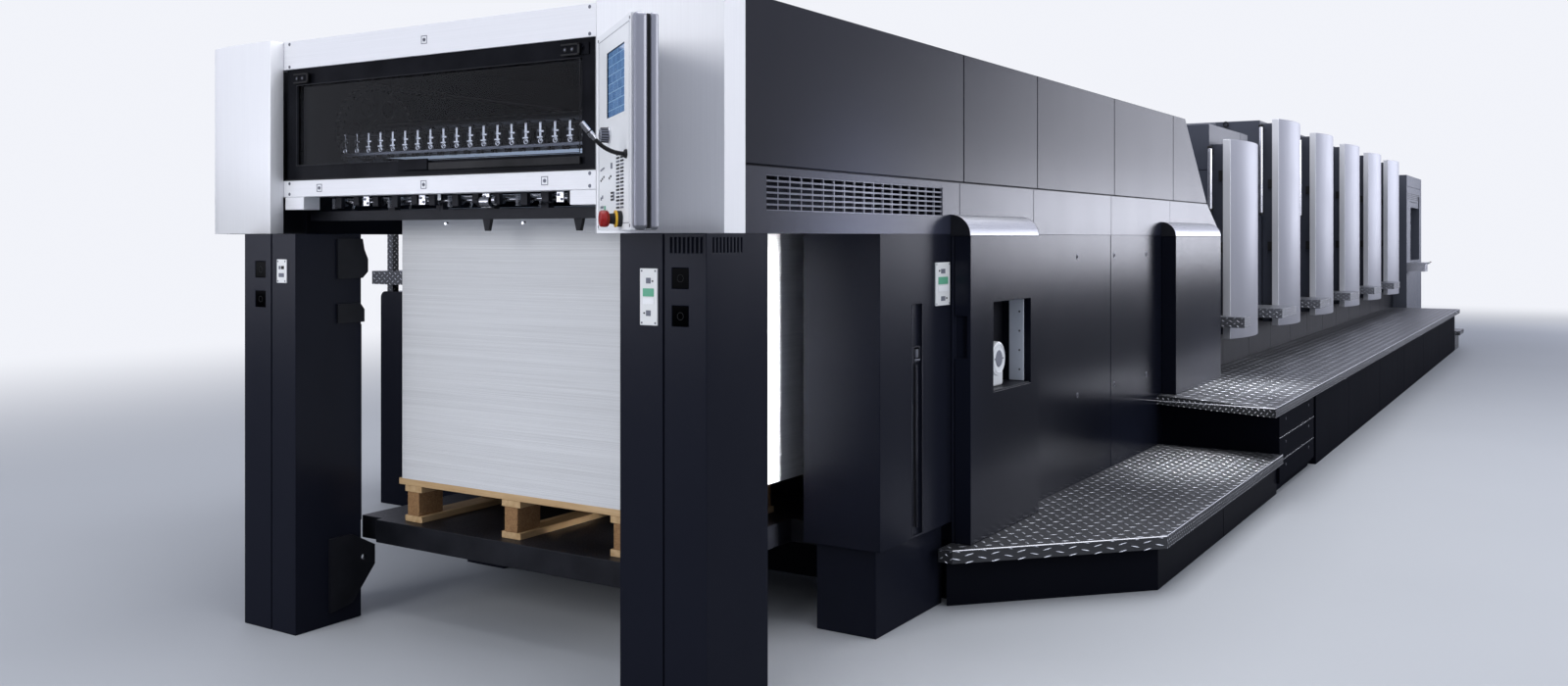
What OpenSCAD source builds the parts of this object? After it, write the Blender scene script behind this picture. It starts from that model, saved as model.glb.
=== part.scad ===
// Offset printing press: delivery with its pile, six units in a row, and the feeder.
// The parts are drawn in the delivery's own coordinates: x runs from the front plane
// of the posts towards the feeder, y from the operator side of the head towards the
// drive side, z up from the floor. stand() then moves the middle of the machine to
// the origin. Millimetres.

/* [Sheet and pile] */
// Sheet width, across the machine
sheet_w = 1050; // [900:10:1080]
// Sheet length, along the machine
sheet_l = 740; // [600:10:750]
// Height of the delivered pile of sheets
pile_h = 830; // [200:10:850]
// Height of the wooden pallet
pallet_h = 135; // [120:1:145]
// Thickness of the pallet's boards
pallet_board_t = 20; // [15:1:25]
// Width of a pallet block
block_w = 52; // [40:1:70]
// Width of a pallet's bottom board
bottom_board_w = 76; // [70:1:90]
// Underside of the pile board at rest
board_z = 232; // [215:1:240]
// Thickness of the pile board
board_t = 73; // [50:1:75]
// Running gap of a guide shoe on its post
shoe_gap = 0.5; // [0.3:0.1:0.8]

/* [Delivery posts] */
// Height of the posts, up to the head
post_h = 1220; // [1200:5:1240]
// Width of the near posts, across the machine
post_w = 267; // [240:1:290]
// Width of the far posts, across the machine
far_post_w = 249; // [230:1:270]
// Length of the near front post, along the machine
front_post_l = 270; // [250:1:275]
// Inner face of the far posts, in from the head's far side
far_post_in = 585; // [570:1:600]
// Start of the rear posts along the machine
rear_post_x = 880; // [860:1:920]
// End of the rear posts along the machine
rear_post_end = 1398; // [1370:1:1399]
// Height of the recessed foot under a rear post
rear_foot_h = 270; // [200:5:300]
// How far the rear foot is set back
rear_foot_inset = 30; // [10:1:45]
// Width of a shadow gap between two panels
seam = 5; // [3:1:8]
// Side of a square sensor window in a post
sensor_side = 50; // [40:1:60]
// Height of a button panel
button_panel_h = 140; // [120:1:150]

/* [Delivery head] */
// Overall width of the head
head_w = 2120; // [2100:5:2160]
// Height of the head above the posts
head_h = 605; // [580:5:630]
// Front plane of the beams
beam_x = 83; // [75:1:95]
// Depth of the beams
beam_d = 60; // [50:1:70]
// Height of the upper beam
beam_upper_h = 88; // [70:1:100]
// Underside of the lower beam above the posts
beam_lower_rise = 116; // [105:1:125]
// Height of the lower beam
beam_lower_h = 51; // [40:1:60]
// Drop of the end blocks below the lower beam
end_block_drop = 40; // [20:1:45]
// Width of an end block
end_block_w = 90; // [70:1:110]
// Width of a curved corner cover
corner_w = 417; // [400:1:430]
// Radius of the corner cover's front in plan
corner_r = 1520; // [1400:10:1800]
// Wall of a corner cover
corner_wall = 12; // [8:1:16]
// Thickness of the head's outer skins
skin_t = 8; // [4:1:10]
// Width of the window frame's side bars
frame_bar = 54; // [40:1:60]
// Thickness of the window glass
glass_t = 8; // [6:1:10]

/* [Gripper chain] */
// Number of grippers on the bar
gripper_count = 21; // [9:2:21]
// Clear end of the gripper bar beyond its last gripper
gripper_margin = 54; // [40:1:80]
// Radius of the gripper bar
bar_r = 18; // [14:1:22]
// Pitch of the chain
chain_pitch = 25.4; // [22:0.1:30]
// Width of the chain
chain_w = 16; // [12:1:20]
// Links of the chain modelled on each straight run
straight_links = 12; // [4:1:20]

/* [Hood] */
// Far end of the hood at its top
hood_top_end = 4249; // [4150:5:4300]
// Far end of the hood at the knee of its slope
hood_knee_x = 4690; // [4600:5:4750]
// Height of the seam between the two rows of panels, above the posts
row_seam_rise = 173; // [165:1:180]
// Far end of the hood at its foot
hood_foot_end = 4997; // [4960:1:5010]
// Start of the air grille
grille_x = 262; // [240:1:300]
// Underside of the air grille, above the posts
grille_rise = 59; // [50:1:70]
// Length of the air grille
grille_l = 1050; // [900:10:1080]
// Height of the air grille
grille_h = 92; // [80:1:96]
// Cells along the grille
grille_cols = 18; // [10:1:20]
// Cells over the grille's height
grille_rows = 6; // [4:1:7]
// Width of a grille bar
grille_bar = 5; // [4:0.5:6]
// Depth of the duct chamber behind the grille
duct_d = 190; // [120:5:220]

/* [Cabinets] */
// How far the side cabinets stand out of the side
cabinet_out = 70; // [60:1:85]
// Drop from the posts' top to the side cabinets' top, below their round caps
cabinet_drop = 5; // [1:1:30]
// Start of the front cabinet's door
cab_front_x = 1378; // [1370:1:1385]
// End of the front cabinet
cab_front_end = 1987; // [1970:1:2050]
// Start of the rear cabinet
cab_rear_x = 3818; // [3800:1:3850]
// End of the rear cabinet
cab_rear_end = 4708; // [4650:1:4750]
// Start of the bottle niche in the front cabinet
niche_x = 1568; // [1540:1:1600]
// Length of the bottle niche
niche_l = 339; // [320:1:345]
// Underside of the bottle niche
niche_z = 684; // [660:1:700]
// Height of the bottle niche
niche_h = 305; // [290:1:310]
// Depth of the bottle niche behind the door
niche_d = 190; // [170:1:220]
// Radius of the round bottle
bottle_r = 62; // [50:1:70]

/* [Steps and gallery] */
// Height of the lower step
step_z = 200; // [180:1:220]
// Height of the gallery
gallery_z = 440; // [425:1:455]
// Thickness of the step and gallery plates
deck_t = 42; // [30:1:50]
// Reach of the lower step out of the side
step_out = 577; // [560:1:589]
// Reach of the gallery out of the side
gallery_out = 590; // [590:1:650]
// How far the plinths stand back under the plates
plinth_inset = 45; // [30:1:60]
// Start of the lower step at the side
step_x = 1280; // [1200:5:1320]
// Outer corner of the lower step's slanted end
step_corner_x = 1857; // [1800:1:1880]
// End of the lower step, under the gallery
step_end = 3766; // [3700:1:3780]
// Start of the gallery at its outer corner
gallery_x = 3540; // [3500:1:3580]
// Start of the gallery at the side panels
gallery_inner_x = 3745; // [3720:1:3800]
// End of the gallery
gallery_end = 12940; // [12900:10:12980]
// Start of the drawers under the gallery
drawer_x = 3845; // [3800:1:3860]
// Length of the drawers
drawer_l = 873; // [800:1:900]
// Height of a drawer front
drawer_h = 108; // [90:1:112]
// End of the feeder step
feeder_step_end = 13425; // [13350:5:13500]

/* [Printing units] */
// Distance from one unit to the next
unit_pitch = 1345; // [1310:1:1350]
// Left face of the first unit's cover
unit_x = 5143; // [5120:1:5160]
// Side plane of the units, in from the hood's side
unit_side = 100; // [90:1:120]
// Length of a unit's tower
tower_l = 980; // [900:5:1000]
// Height of the unit towers
tower_top = 2000; // [1960:5:2040]
// Height of the first unit's tower
first_tower_top = 1876; // [1850:1:1900]
// Underside of the tower's front hood
tower_hood_z = 1606; // [1560:1:1650]
// Depth of the bay under the tower's front hood
tower_bay_d = 190; // [120:5:240]
// Width of the tower's side frames
tower_frame_w = 290; // [250:5:320]
// Length of a silver unit cover
cover_l = 680; // [640:5:700]
// Underside of the unit covers
cover_z = 620; // [600:1:640]
// Top of the first, shorter unit cover
first_cover_top = 1777; // [1740:1:1820]
// Width of the flat left face of a cover
cover_face = 93; // [80:1:110]
// Bulge of a cover's front
cover_bulge = 57; // [40:1:65]
// Top of the treads between the units
tread_z = 756; // [740:1:780]
// Length of a tread
tread_l = 453; // [420:1:460]
// Reach of a tread out of the units' side
tread_out = 231; // [200:1:260]
// Thickness of a tread
tread_t = 60; // [40:1:70]
// Radius of a grab handle's bar
handle_r = 13; // [10:1:15]
// How far a grab handle stands off
handle_off = 45; // [35:1:60]
// Lower end of the grab handles
handle_z = 1368; // [1340:1:1400]

/* [Feeder] */
// Start of the feeder
feeder_x = 13268; // [13240:1:13290]
// Length of the feeder
feeder_l = 1422; // [1400:1:1480]
// Height of the feeder
feeder_top = 1905; // [1880:5:1950]
// Side plane of the feeder, out of the hood's side
feeder_out = 40; // [20:1:60]
// Width of the feeder's side frames
feeder_frame_w = 110; // [90:5:140]
// Start of the side opening, in from the feeder's front
bay_x = 338; // [320:1:350]
// Length of the side opening
bay_l = 886; // [860:1:900]
// Underside of the side opening
bay_z = 945; // [930:1:960]
// Top of the side opening
bay_top = 1548; // [1500:1:1560]
// Height of the feeder's own pile
feeder_pile_h = 780; // [200:10:850]
// Underside of the feeder's pile board
feeder_board_z = 250; // [200:5:280]
// Thickness of the feeder's pile board
feeder_board_t = 70; // [50:1:80]
// Reach of the desk out of the feeder's side
desk_out = 190; // [150:5:220]
// Top of the desk
desk_z = 927; // [910:1:929]

/* [Drive side] */
// Depth of the drive side cabinets
drive_cab_d = 700; // [650:5:720]
// Height of the drive side cabinets
drive_cab_h = 964; // [940:1:980]
// Gap from the side to the drive side cabinets
drive_cab_gap = 60; // [40:1:80]
// Start of the drive side cabinets
drive_cab_x = 1458; // [1440:1:1500]
// Number of drive side cabinets
drive_cab_count = 3; // [1:1:4]
// Reach of the drive side tread over the cabinets
ledge_out = 800; // [780:5:830]
// Top of the drive side tread
ledge_z = 1056; // [1050:1:1060]

/* [Console] */
// Width of the console
console_w = 420; // [400:5:430]
// Height of the console
console_h = 481; // [460:1:500]
// Thickness of the console
console_t = 60; // [56:1:66]
// Running gap between the posts and the console above them
console_gap = 6; // [5:1:20]
// Angle by which the console stands out at rest
console_angle = 51.2; // [45:0.1:55]
// Width of the screen
screen_w = 204; // [180:1:220]
// Height of the screen
screen_h = 157; // [140:1:170]
// Radius of the console's hinge pin
hinge_r = 10; // [8:0.5:11]
// Running gap round the hinge pin
hinge_gap = 0.05; // [0.03:0.01:0.1]

/* [Hidden] */

eps = 0.01;
black = [0.04, 0.04, 0.05];
dark = [0.11, 0.12, 0.16];
silver = [0.76, 0.77, 0.81];
plate_grey = [0.60, 0.61, 0.65];
unit_count = 6;
machine_end = feeder_x + feeder_l;
head_mid_y = head_w / 2;

// Places that follow the posts' height and the head's width
head_top = post_h + head_h;
beam_lower_z = post_h + beam_lower_rise;
row_seam_z = post_h + row_seam_rise;
grille_z = post_h + grille_rise;
cabinet_top = post_h - cabinet_drop;
console_z = post_h + console_gap;
far_post_y = head_w - far_post_in;
drive_cab_inner = head_w + drive_cab_gap;
drive_cab_y = drive_cab_inner + drive_cab_d;
ledge_y = head_w + ledge_out;

// Posts and what lies between them
far_post_l = front_post_l - 25;
far_post_end_y = far_post_y + far_post_w;
post_mid_y = (post_w + far_post_y) / 2;
bay_end = rear_post_end + 22;
sensor_zs = [post_h - 227, post_h - 135];
sensor_edge = 54;
vent_w = 6;
vent_pitch = 13;
vent_h = 37;
vent_depth = 6;

// Pile
pile_x = 317;
pile_y = post_mid_y - sheet_w / 2;
pallet_w = sheet_w - 70;
pallet_y = post_mid_y + 50 - pallet_w / 2;
pallet_z = board_z + board_t;
pile_z = pallet_z + pallet_h;
board_x = front_post_l + 8;
board_end = board_x + 1030;
board_y = pile_y + 11;
board_far_y = far_post_y - 30;
board_wing = 65;
wing_x = 302;
shoe_x = rear_post_x + 120;
shoe_l = 100;

// Head
house_near_y = 340;
house_far_y = head_w - 420;
roof_t = 10;
side_x = beam_x + beam_d + 23;
beam_far_y = head_w - corner_w - 7;
beam_y0 = house_near_y + 30;
window_z0 = beam_lower_z + beam_lower_h;
window_z1 = head_top - beam_upper_h;
glass_z0 = window_z0 + 46;
glass_z1 = window_z1 - 52;
corner_nose = 34;
corner_mid_y = corner_w - 69;
corner_strip = 120;

// Chain, wheels and bar: the chain's line runs through the middle of the bar
wheel_x = 400;
wheel_z = post_h + 340;
bar_x = 262;
bar_z = post_h + 280;
chain_r = norm([wheel_x - bar_x, wheel_z - bar_z]);
chain_half_h = 8;
chain_run = 900;
near_chain_y = house_near_y + 50;
far_chain_y = house_far_y - 50 - chain_w;
chain_mid_y = (near_chain_y + chain_w + far_chain_y) / 2;
gripper_pitch = (far_chain_y - near_chain_y - chain_w - 2 * gripper_margin) / (gripper_count - 1);
tooth_count = round(2 * PI * chain_r / chain_pitch);
shaft_r = 25;
guide_z = post_h + 260;
guide_t = 6;
rail_x = 180;
rail_z = post_h + 42;
rail_side = 30;
slot_x = [rear_post_x + 212, rear_post_x + 283];
glass_y = [corner_w + frame_bar, beam_far_y - frame_bar];

// Console: the inner edge of its face, and the hinge pin inside it
console_x = -34;
console_y = 310;
pin_in_x = 22;
pin_in_y = 36;
pin_x = console_x - pin_in_x * cos(console_angle) + pin_in_y * sin(console_angle);
pin_y = console_y - pin_in_x * sin(console_angle) - pin_in_y * cos(console_angle);
pin_z = console_z + 40;
pin_h = console_h - 80;
arm_h = 40;
arm_gap = 6;
arm_w = 28;
arm_zs = [console_z + 70, console_z + console_h - 110];
screen_x = 120;
screen_z = console_z + 269;
neck_x = 348;
neck_z = console_z + 171;
knob_z = console_z + 227;
stop_z = console_z + 26;
neck_r = 4.5;
neck_bend = 90;
neck_turn = 50;
neck_tip = 50;
neck_reach = neck_bend * sin(neck_turn) + neck_tip * cos(neck_turn);

// Steps and side
side_t = 12;
far_side_y = head_w - side_t;
plinth_y = plinth_inset - gallery_out;
step_plinth_y = plinth_inset - step_out;
drawer_end = drawer_x + drawer_l;
slot_end = drawer_end + 63;
bed_top = tread_z - tread_t;
units_far_y = head_w - 20;
cover_y = unit_side - 27 - cover_face;

// Feeder
feeder_far_y = units_far_y;
feeder_bay_x = feeder_x + bay_x;
feeder_wall = 110;
feeder_pile_x = feeder_bay_x + 100;
feeder_pile_y = head_mid_y - sheet_w / 2;
feeder_pile_z = feeder_board_z + feeder_board_t;
inner_near_y = feeder_frame_w - feeder_out;
inner_far_y = feeder_far_y - feeder_frame_w;

// The whole machine's reach, and its middle
neck_tip_x = console_x - neck_x * cos(console_angle) - neck_reach * sin(console_angle) - neck_r;
mid_x = (neck_tip_x + machine_end) / 2;
mid_y = (ledge_y - gallery_out) / 2;

upper_seams = [side_x, 1477, 2153, 3082, 4021, hood_foot_end];
lower_seams = [side_x, 1443, 2113, 3037, 3963, hood_foot_end];
side_seams = [3030];

function unit_left(n) = unit_x + n * unit_pitch;
function unit_top(n) = n == 0 ? first_tower_top : tower_top;

// Moves a piece from the delivery's coordinates to the middle of the machine
module stand() {
    translate([-mid_x, -mid_y, 0]) children();
}

// A box between two places along, across and up
module block(x, y, z) {
    translate([x[0], y[0], z[0]]) cube([x[1] - x[0], y[1] - y[0], z[1] - z[0]]);
}

// Stands an outline drawn along and up between two widths
module across(y0, y1) {
    translate([0, y1, 0]) rotate([90, 0, 0]) linear_extrude(y1 - y0) children();
}

// A round bar that runs across the machine
module cross_bar(x, z, r, y0, y1) {
    translate([x, y0, z]) rotate([-90, 0, 0]) cylinder(r = r, h = y1 - y0, $fn = 48);
}

// A shallow groove in the side of a housing, where two panels meet
module groove(x, y, z) {
    block([x - seam / 2, x + seam / 2], [y - vent_depth, y + vent_depth], z);
}

/* Posts of the delivery */

module sensor_windows(y) {
    for (z = sensor_zs)
        block([-1, 14], [y, y + sensor_side], [z, z + sensor_side]);
}

module front_vents(y) {
    for (k = [0 : 7])
        block([-1, vent_depth], [y + k * vent_pitch, y + k * vent_pitch + vent_w],
              [post_h - 11 - vent_h, post_h - 11]);
}

module delivery_post_near() {
    stand() color(dark) difference() {
        block([0, front_post_l], [0, post_w], [0, post_h]);
        block([-1, vent_depth], [127, 127 + seam], [-1, post_h + 1]);
        sensor_windows(sensor_edge);
        front_vents(12);
        for (k = [0 : 8])
            block([26 + k * 15, 32 + k * 15], [-1, vent_depth],
                  [post_h - 11 - vent_h, post_h - 11]);
    }
}

module delivery_post_far() {
    stand() color(dark) difference() {
        block([0, far_post_l], [far_post_y, far_post_end_y], [0, post_h]);
        block([-1, vent_depth], [far_post_y + 113, far_post_y + 113 + seam], [-1, post_h + 1]);
        sensor_windows(far_post_end_y - sensor_edge - sensor_side);
    }
}

// A rear post on its recessed foot
module rear_post(y0, y1) {
    block([rear_post_x, rear_post_end], [y0, y1], [rear_foot_h, post_h]);
    block([rear_post_x + rear_foot_inset, rear_post_end - rear_foot_inset],
          [y0 + rear_foot_inset, y1 - rear_foot_inset], [0, rear_foot_h]);
}

module rear_post_near() {
    stand() color(dark) {
        difference() {
            rear_post(0, post_w);
            block(slot_x, [-1, 10], [rear_foot_h + 7, 1000]);
        }
        // The latch in the slot
        difference() {
            block([slot_x[0] + 16, slot_x[1] - 8], [2, 10], [820, 866]);
            block([slot_x[0] + 24, slot_x[1] - 30], [1, 6], [828, 858]);
        }
    }
}

module rear_post_far() {
    stand() color(dark) rear_post(far_post_y, far_post_end_y);
}

// Cover of the lower chain wheel on the far post, and the brackets above it
module chain_guard() {
    guard_t = 12;
    upper_z = post_h - 140;
    lower_z = post_h - 280;
    stand() color(black) {
        across(far_post_y - guard_t, far_post_y) difference() {
            polygon([[120, 40], [203, 55], [290, 160], [290, 222], [203, 270], [120, 270]]);
            translate([245, 191]) circle(r = 9, $fn = 32);
        }
        across(far_post_y - 8, far_post_y) {
            polygon([[150, upper_z], [245, upper_z], [266, upper_z + 20], [266, upper_z + 60],
                     [252, upper_z + 90], [245, upper_z + 125], [150, upper_z + 125]]);
            polygon([[150, lower_z], [252, lower_z], [252, lower_z + 40], [236, lower_z + 60],
                     [150, lower_z + 60]]);
        }
        block([far_post_l, far_post_l + 26], [far_post_y + 30, far_post_y + 110], [300, post_h - 290]);
    }
}

// A button panel drawn flat: x across, y up, on a plate that z grows out of
module button_plate(w) {
    plate_t = 4;
    linear_extrude(plate_t) square([w, button_panel_h]);
    for (z = [0.37, 0.54])
        translate([w / 4, button_panel_h * z, 0])
            linear_extrude(plate_t + 2) square([w / 2, button_panel_h / 9]);
}

module button_panels() {
    stand() color([0.88, 0.88, 0.90]) {
        translate([0, post_w - 67, sensor_zs[0]]) rotate([90, 0, -90]) button_plate(54);
        translate([rear_post_end - 144, 0, sensor_zs[0] - 5]) rotate([90, 0, 0]) button_plate(107);
        translate([0, far_post_y + 84, sensor_zs[1] - 15]) rotate([90, 0, -90])
            linear_extrude(4) square([46, 72]);
    }
}

/* Head over the delivery pile */

module head_beams() {
    beam = [beam_x, beam_x + beam_d];
    stand() color(silver) {
        block(beam, [beam_y0, beam_far_y + 47], [window_z1, head_top]);
        difference() {
            union() {
                block(beam, [beam_y0, beam_far_y + 47], [beam_lower_z, window_z0]);
                for (y = [corner_w, beam_far_y - end_block_w])
                    block(beam, [y, y + end_block_w], [beam_lower_z - end_block_drop, beam_lower_z]);
            }
            // The seam over the end blocks, where the lower strip is screwed on
            for (y = [corner_w - 1, beam_far_y - end_block_w])
                block([beam_x - 1, beam_x + 3], [y, y + end_block_w + 1],
                      [beam_lower_z - 2, beam_lower_z]);
        }
    }
}

// Round front of a corner cover, grown outwards by a margin
module corner_round(margin) {
    translate([corner_nose + corner_r, corner_mid_y]) circle(r = corner_r + margin, $fn = 360);
}

// Plan of a corner cover as a bent sheet: the round front, the inner return down to
// the beams, and the outer strip back to the side housing
module corner_plan() {
    difference() {
        intersection() {
            corner_round(0);
            union() {
                square([beam_x - eps, corner_w]);
                square([side_x, corner_strip]);
            }
        }
        intersection() {
            corner_round(-corner_wall);
            translate([0, skin_t]) square([side_x + 1, corner_w - skin_t - corner_wall]);
        }
    }
}

module corner_cover_near() {
    stand() color(silver)
        translate([0, 0, post_h]) linear_extrude(head_top - post_h) corner_plan();
}

module corner_cover_far() {
    stand() color(silver)
        translate([0, head_w, post_h]) mirror([0, 1, 0])
            linear_extrude(head_top - post_h) corner_plan();
}

module window_frame() {
    stand() color(black) {
        difference() {
            block([beam_x + 8, beam_x + beam_d], [corner_w, beam_far_y], [window_z0, window_z1]);
            block([beam_x, beam_x + beam_d + 1], glass_y, [glass_z0, glass_z1]);
        }
        // Catches in the upper corners, each with two round sockets
        for (y = [corner_w + 28, beam_far_y - 28 - 62])
            difference() {
                block([beam_x + 4, beam_x + 8], [y, y + 62], [glass_z1 + 8, glass_z1 + 40]);
                for (k = [18, 44])
                    cross_hole(y + k, glass_z1 + 24);
            }
    }
}

module cross_hole(y, z) {
    translate([beam_x + 3, y, z]) rotate([0, 90, 0]) cylinder(r = 6, h = 4, $fn = 24);
}

module window_glass() {
    stand() color([0.3, 0.32, 0.36, 0.35])
        block([beam_x + 12, beam_x + 12 + glass_t], glass_y, [glass_z0, glass_z1]);
}

// Side view of one gripper, drawn about the middle of the bar: the clamp round the
// bar, the curved finger over it, and the pad that the sheet's edge lies on
module gripper_side() {
    finger_r = bar_r + 16;
    difference() {
        circle(r = bar_r + 6, $fn = 48);
        circle(r = bar_r - 1, $fn = 48);
    }
    translate([-bar_r - 20, -bar_r - 6]) square([20, 12]);
    difference() {
        circle(r = finger_r, $fn = 48);
        circle(r = finger_r - 6, $fn = 48);
        translate([-finger_r - 1, -finger_r - 1]) square([2 * finger_r + 2, finger_r - 8]);
        translate([4, -finger_r - 1]) square([finger_r, 2 * finger_r + 2]);
    }
    translate([-2, bar_r]) square([6, 14]);
}

module gripper() {
    rotate([90, 0, 0]) translate([0, 0, -9]) linear_extrude(18) gripper_side();
    // The screw that sets the finger
    translate([-bar_r - 19, 0, 4]) rotate([0, 90, 0]) cylinder(r = 4, h = 20, $fn = 24);
}

module gripper_bar() {
    stand() color([0.75, 0.76, 0.78]) {
        cross_bar(bar_x, bar_z, bar_r, near_chain_y + chain_w, far_chain_y);
        block([bar_x - bar_r - 22, bar_x - bar_r - 4],
              [near_chain_y + chain_w + 40, far_chain_y - 40],
              [bar_z - bar_r - 14, bar_z - bar_r - 6]);
        for (k = [0 : gripper_count - 1])
            translate([bar_x, chain_mid_y + (k - (gripper_count - 1) / 2) * gripper_pitch, bar_z])
                gripper();
    }
}

// Wheel and chain in side view, drawn about the middle of the wheel
module chain_outline() {
    link_r = chain_half_h + 2;
    step = chain_pitch / chain_r * 180 / PI;
    // Toothed wheel with six round openings and its hub
    difference() {
        union() {
            circle(r = chain_r - 12, $fn = 120);
            for (k = [0 : tooth_count - 1])
                rotate(k * 360 / tooth_count)
                    polygon([[chain_r - 14, -7], [chain_r - 2, -3], [chain_r - 2, 3], [chain_r - 14, 7]]);
        }
        for (k = [0 : 5])
            rotate(k * 60) translate([(chain_r - 12 + 42) / 2, 0]) circle(r = 30, $fn = 48);
    }
    // Chain: half a turn round the wheel and two straight runs
    difference() {
        union() {
            circle(r = chain_r + chain_half_h - 3, $fn = 120);
            translate([0, -chain_r - chain_half_h + 3])
                square([chain_run, 2 * (chain_r + chain_half_h - 3)]);
        }
        circle(r = chain_r - chain_half_h + 3, $fn = 120);
        translate([0, -chain_r + chain_half_h - 3])
            square([chain_run + 1, 2 * (chain_r - chain_half_h + 3)]);
    }
    for (k = [0 : floor(180 / step)])
        rotate(90 + (k + 0.5) * step) translate([chain_r, 0]) circle(r = link_r, $fn = 24);
    for (k = [0 : straight_links - 1])
        for (y = [-chain_r, chain_r])
            translate([(k + 0.5) * chain_pitch, y]) circle(r = link_r, $fn = 24);
}

module chain_wheels() {
    stand() color([0.55, 0.56, 0.58]) {
        cross_bar(wheel_x, wheel_z, shaft_r, house_near_y, house_far_y);
        for (y = [near_chain_y, far_chain_y]) {
            translate([wheel_x, 0, wheel_z]) across(y, y + chain_w) chain_outline();
            cross_bar(wheel_x, wheel_z, 42, y - 8, y + chain_w + 8);
        }
    }
}

// Guide plate between the upper and lower runs, wider behind the wheels
module sheet_guide() {
    clear = 20;
    wide_x = wheel_x + chain_r + 40;
    stand() color([0.75, 0.78, 0.85])
        translate([0, 0, guide_z - guide_t]) linear_extrude(guide_t)
            polygon([[bar_x + 45, near_chain_y + chain_w + clear], [wide_x, near_chain_y + chain_w + clear],
                     [wide_x, house_near_y], [bay_end, house_near_y], [bay_end, house_far_y],
                     [wide_x, house_far_y], [wide_x, far_chain_y - clear],
                     [bar_x + 45, far_chain_y - clear]]);
}

// Rail under the lower beam with the front stops and two hooks
module sheet_stop_rail() {
    stand() color(black) {
        block([rail_x, rail_x + rail_side], [house_near_y, house_far_y],
              [rail_z, rail_z + rail_side]);
        for (k = [-2 : 2]) {
            y = post_mid_y + k * 210;
            block([rail_x + 4, rail_x + rail_side - 4], [y - 14, y + 14], [rail_z, rail_z + 96]);
            block([beam_x + beam_d, rail_x + rail_side - 4], [y - 14, y + 14],
                  [rail_z + 80, rail_z + 96]);
            block([rail_x + rail_side, rail_x + rail_side + 70], [y - 20, y + 20],
                  [rail_z + 8, rail_z + 14]);
        }
        for (y = [post_mid_y - 330, post_mid_y + 20])
            translate([rail_x + 8, y, 0]) rotate([90, 0, 90]) linear_extrude(12)
                polygon([[-16, rail_z + 2], [16, rail_z + 2], [7, rail_z - 34], [-7, rail_z - 34]]);
    }
}

/* Console on its hinge */

// Puts a piece drawn in the console's own plane in its place: x runs along the face
// outwards, y is 0 on the face and grows to the back, z is the height
module on_console() {
    translate([console_x, console_y, 0]) rotate([0, 0, 180 + console_angle]) children();
}

module console_hinge() {
    stand() color(black) {
        translate([pin_x, pin_y, pin_z]) cylinder(r = hinge_r, h = pin_h, $fn = 48);
        for (z = arm_zs)
            difference() {
                union() {
                    block([pin_x, beam_x], [pin_y - arm_w / 2, pin_y + arm_w / 2], [z, z + arm_h]);
                    translate([pin_x, pin_y, z]) cylinder(r = arm_w / 2, h = arm_h, $fn = 48);
                }
                translate([0, 0, z - 1]) linear_extrude(arm_h + 2) corner_round(0.2);
            }
    }
}

// Plan of the console: the face shell with its round outer edge, the dark joint
// behind it, and the back shell
module console_plan() {
    nose = 26;
    difference() {
        square([console_w, 34]);
        translate([console_w - nose, -1]) square([nose + 1, nose + 1]);
    }
    intersection() {
        translate([console_w - nose, nose]) circle(r = nose, $fn = 64);
        square([console_w, 34]);
    }
    translate([4, 34]) square([console_w - 16, 6]);
    translate([0, 40]) square([console_w - 14, console_t - 40]);
    translate([console_w - 14, 50]) circle(r = min(10, console_t - 50), $fn = 48);
}

module console_case() {
    stand() color([0.86, 0.86, 0.88]) on_console() difference() {
        translate([0, 0, console_z]) linear_extrude(console_h) console_plan();
        translate([pin_in_x, pin_in_y, pin_z - 1])
            cylinder(r = hinge_r + hinge_gap, h = pin_h + 2, $fn = 48);
        for (z = arm_zs)
            translate([-1, -1, z - arm_gap])
                cube([pin_in_x + 41, console_t + 2, arm_h + 2 * arm_gap]);
        translate([screen_x, -1, screen_z]) cube([screen_w, 5, screen_h]);
    }
}

// A round control that stands out of the console's face
module on_face(x, z, r, reach) {
    translate([x, 0, z]) rotate([90, 0, 0]) cylinder(r = r, h = reach, $fn = 48);
}

module console_controls() {
    stand() color([0.3, 0.5, 0.8]) on_console() {
        translate([screen_x, 2, screen_z]) cube([screen_w, 2, screen_h]);
        // Turning knob
        on_face(152, knob_z, 20, 5);
        on_face(152, knob_z, 17, 24);
        // Stop button on its base
        on_face(291, stop_z, 19, 12);
        on_face(291, stop_z, 12, 36);
        on_face(291, stop_z, 17, 30);
        difference() {
            on_face(291, stop_z, 20, 51);
            on_face(291, stop_z, 21, 33);
        }
        // Bent neck with its tip
        on_face(neck_x, neck_z, 11, 6);
        translate([neck_x, -1, neck_z + neck_bend]) rotate([0, 90, 0]) rotate([0, 0, -neck_turn])
            rotate_extrude(angle = neck_turn, $fn = 96)
                translate([neck_bend, 0]) circle(r = neck_r, $fn = 24);
        translate([neck_x, -1 - neck_bend * sin(neck_turn), neck_z + neck_bend * (1 - cos(neck_turn))])
            rotate([90 - neck_turn, 0, 0]) cylinder(r = neck_r + 3, h = neck_tip, $fn = 32);
    }
}

/* Pile on its lift */

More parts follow.
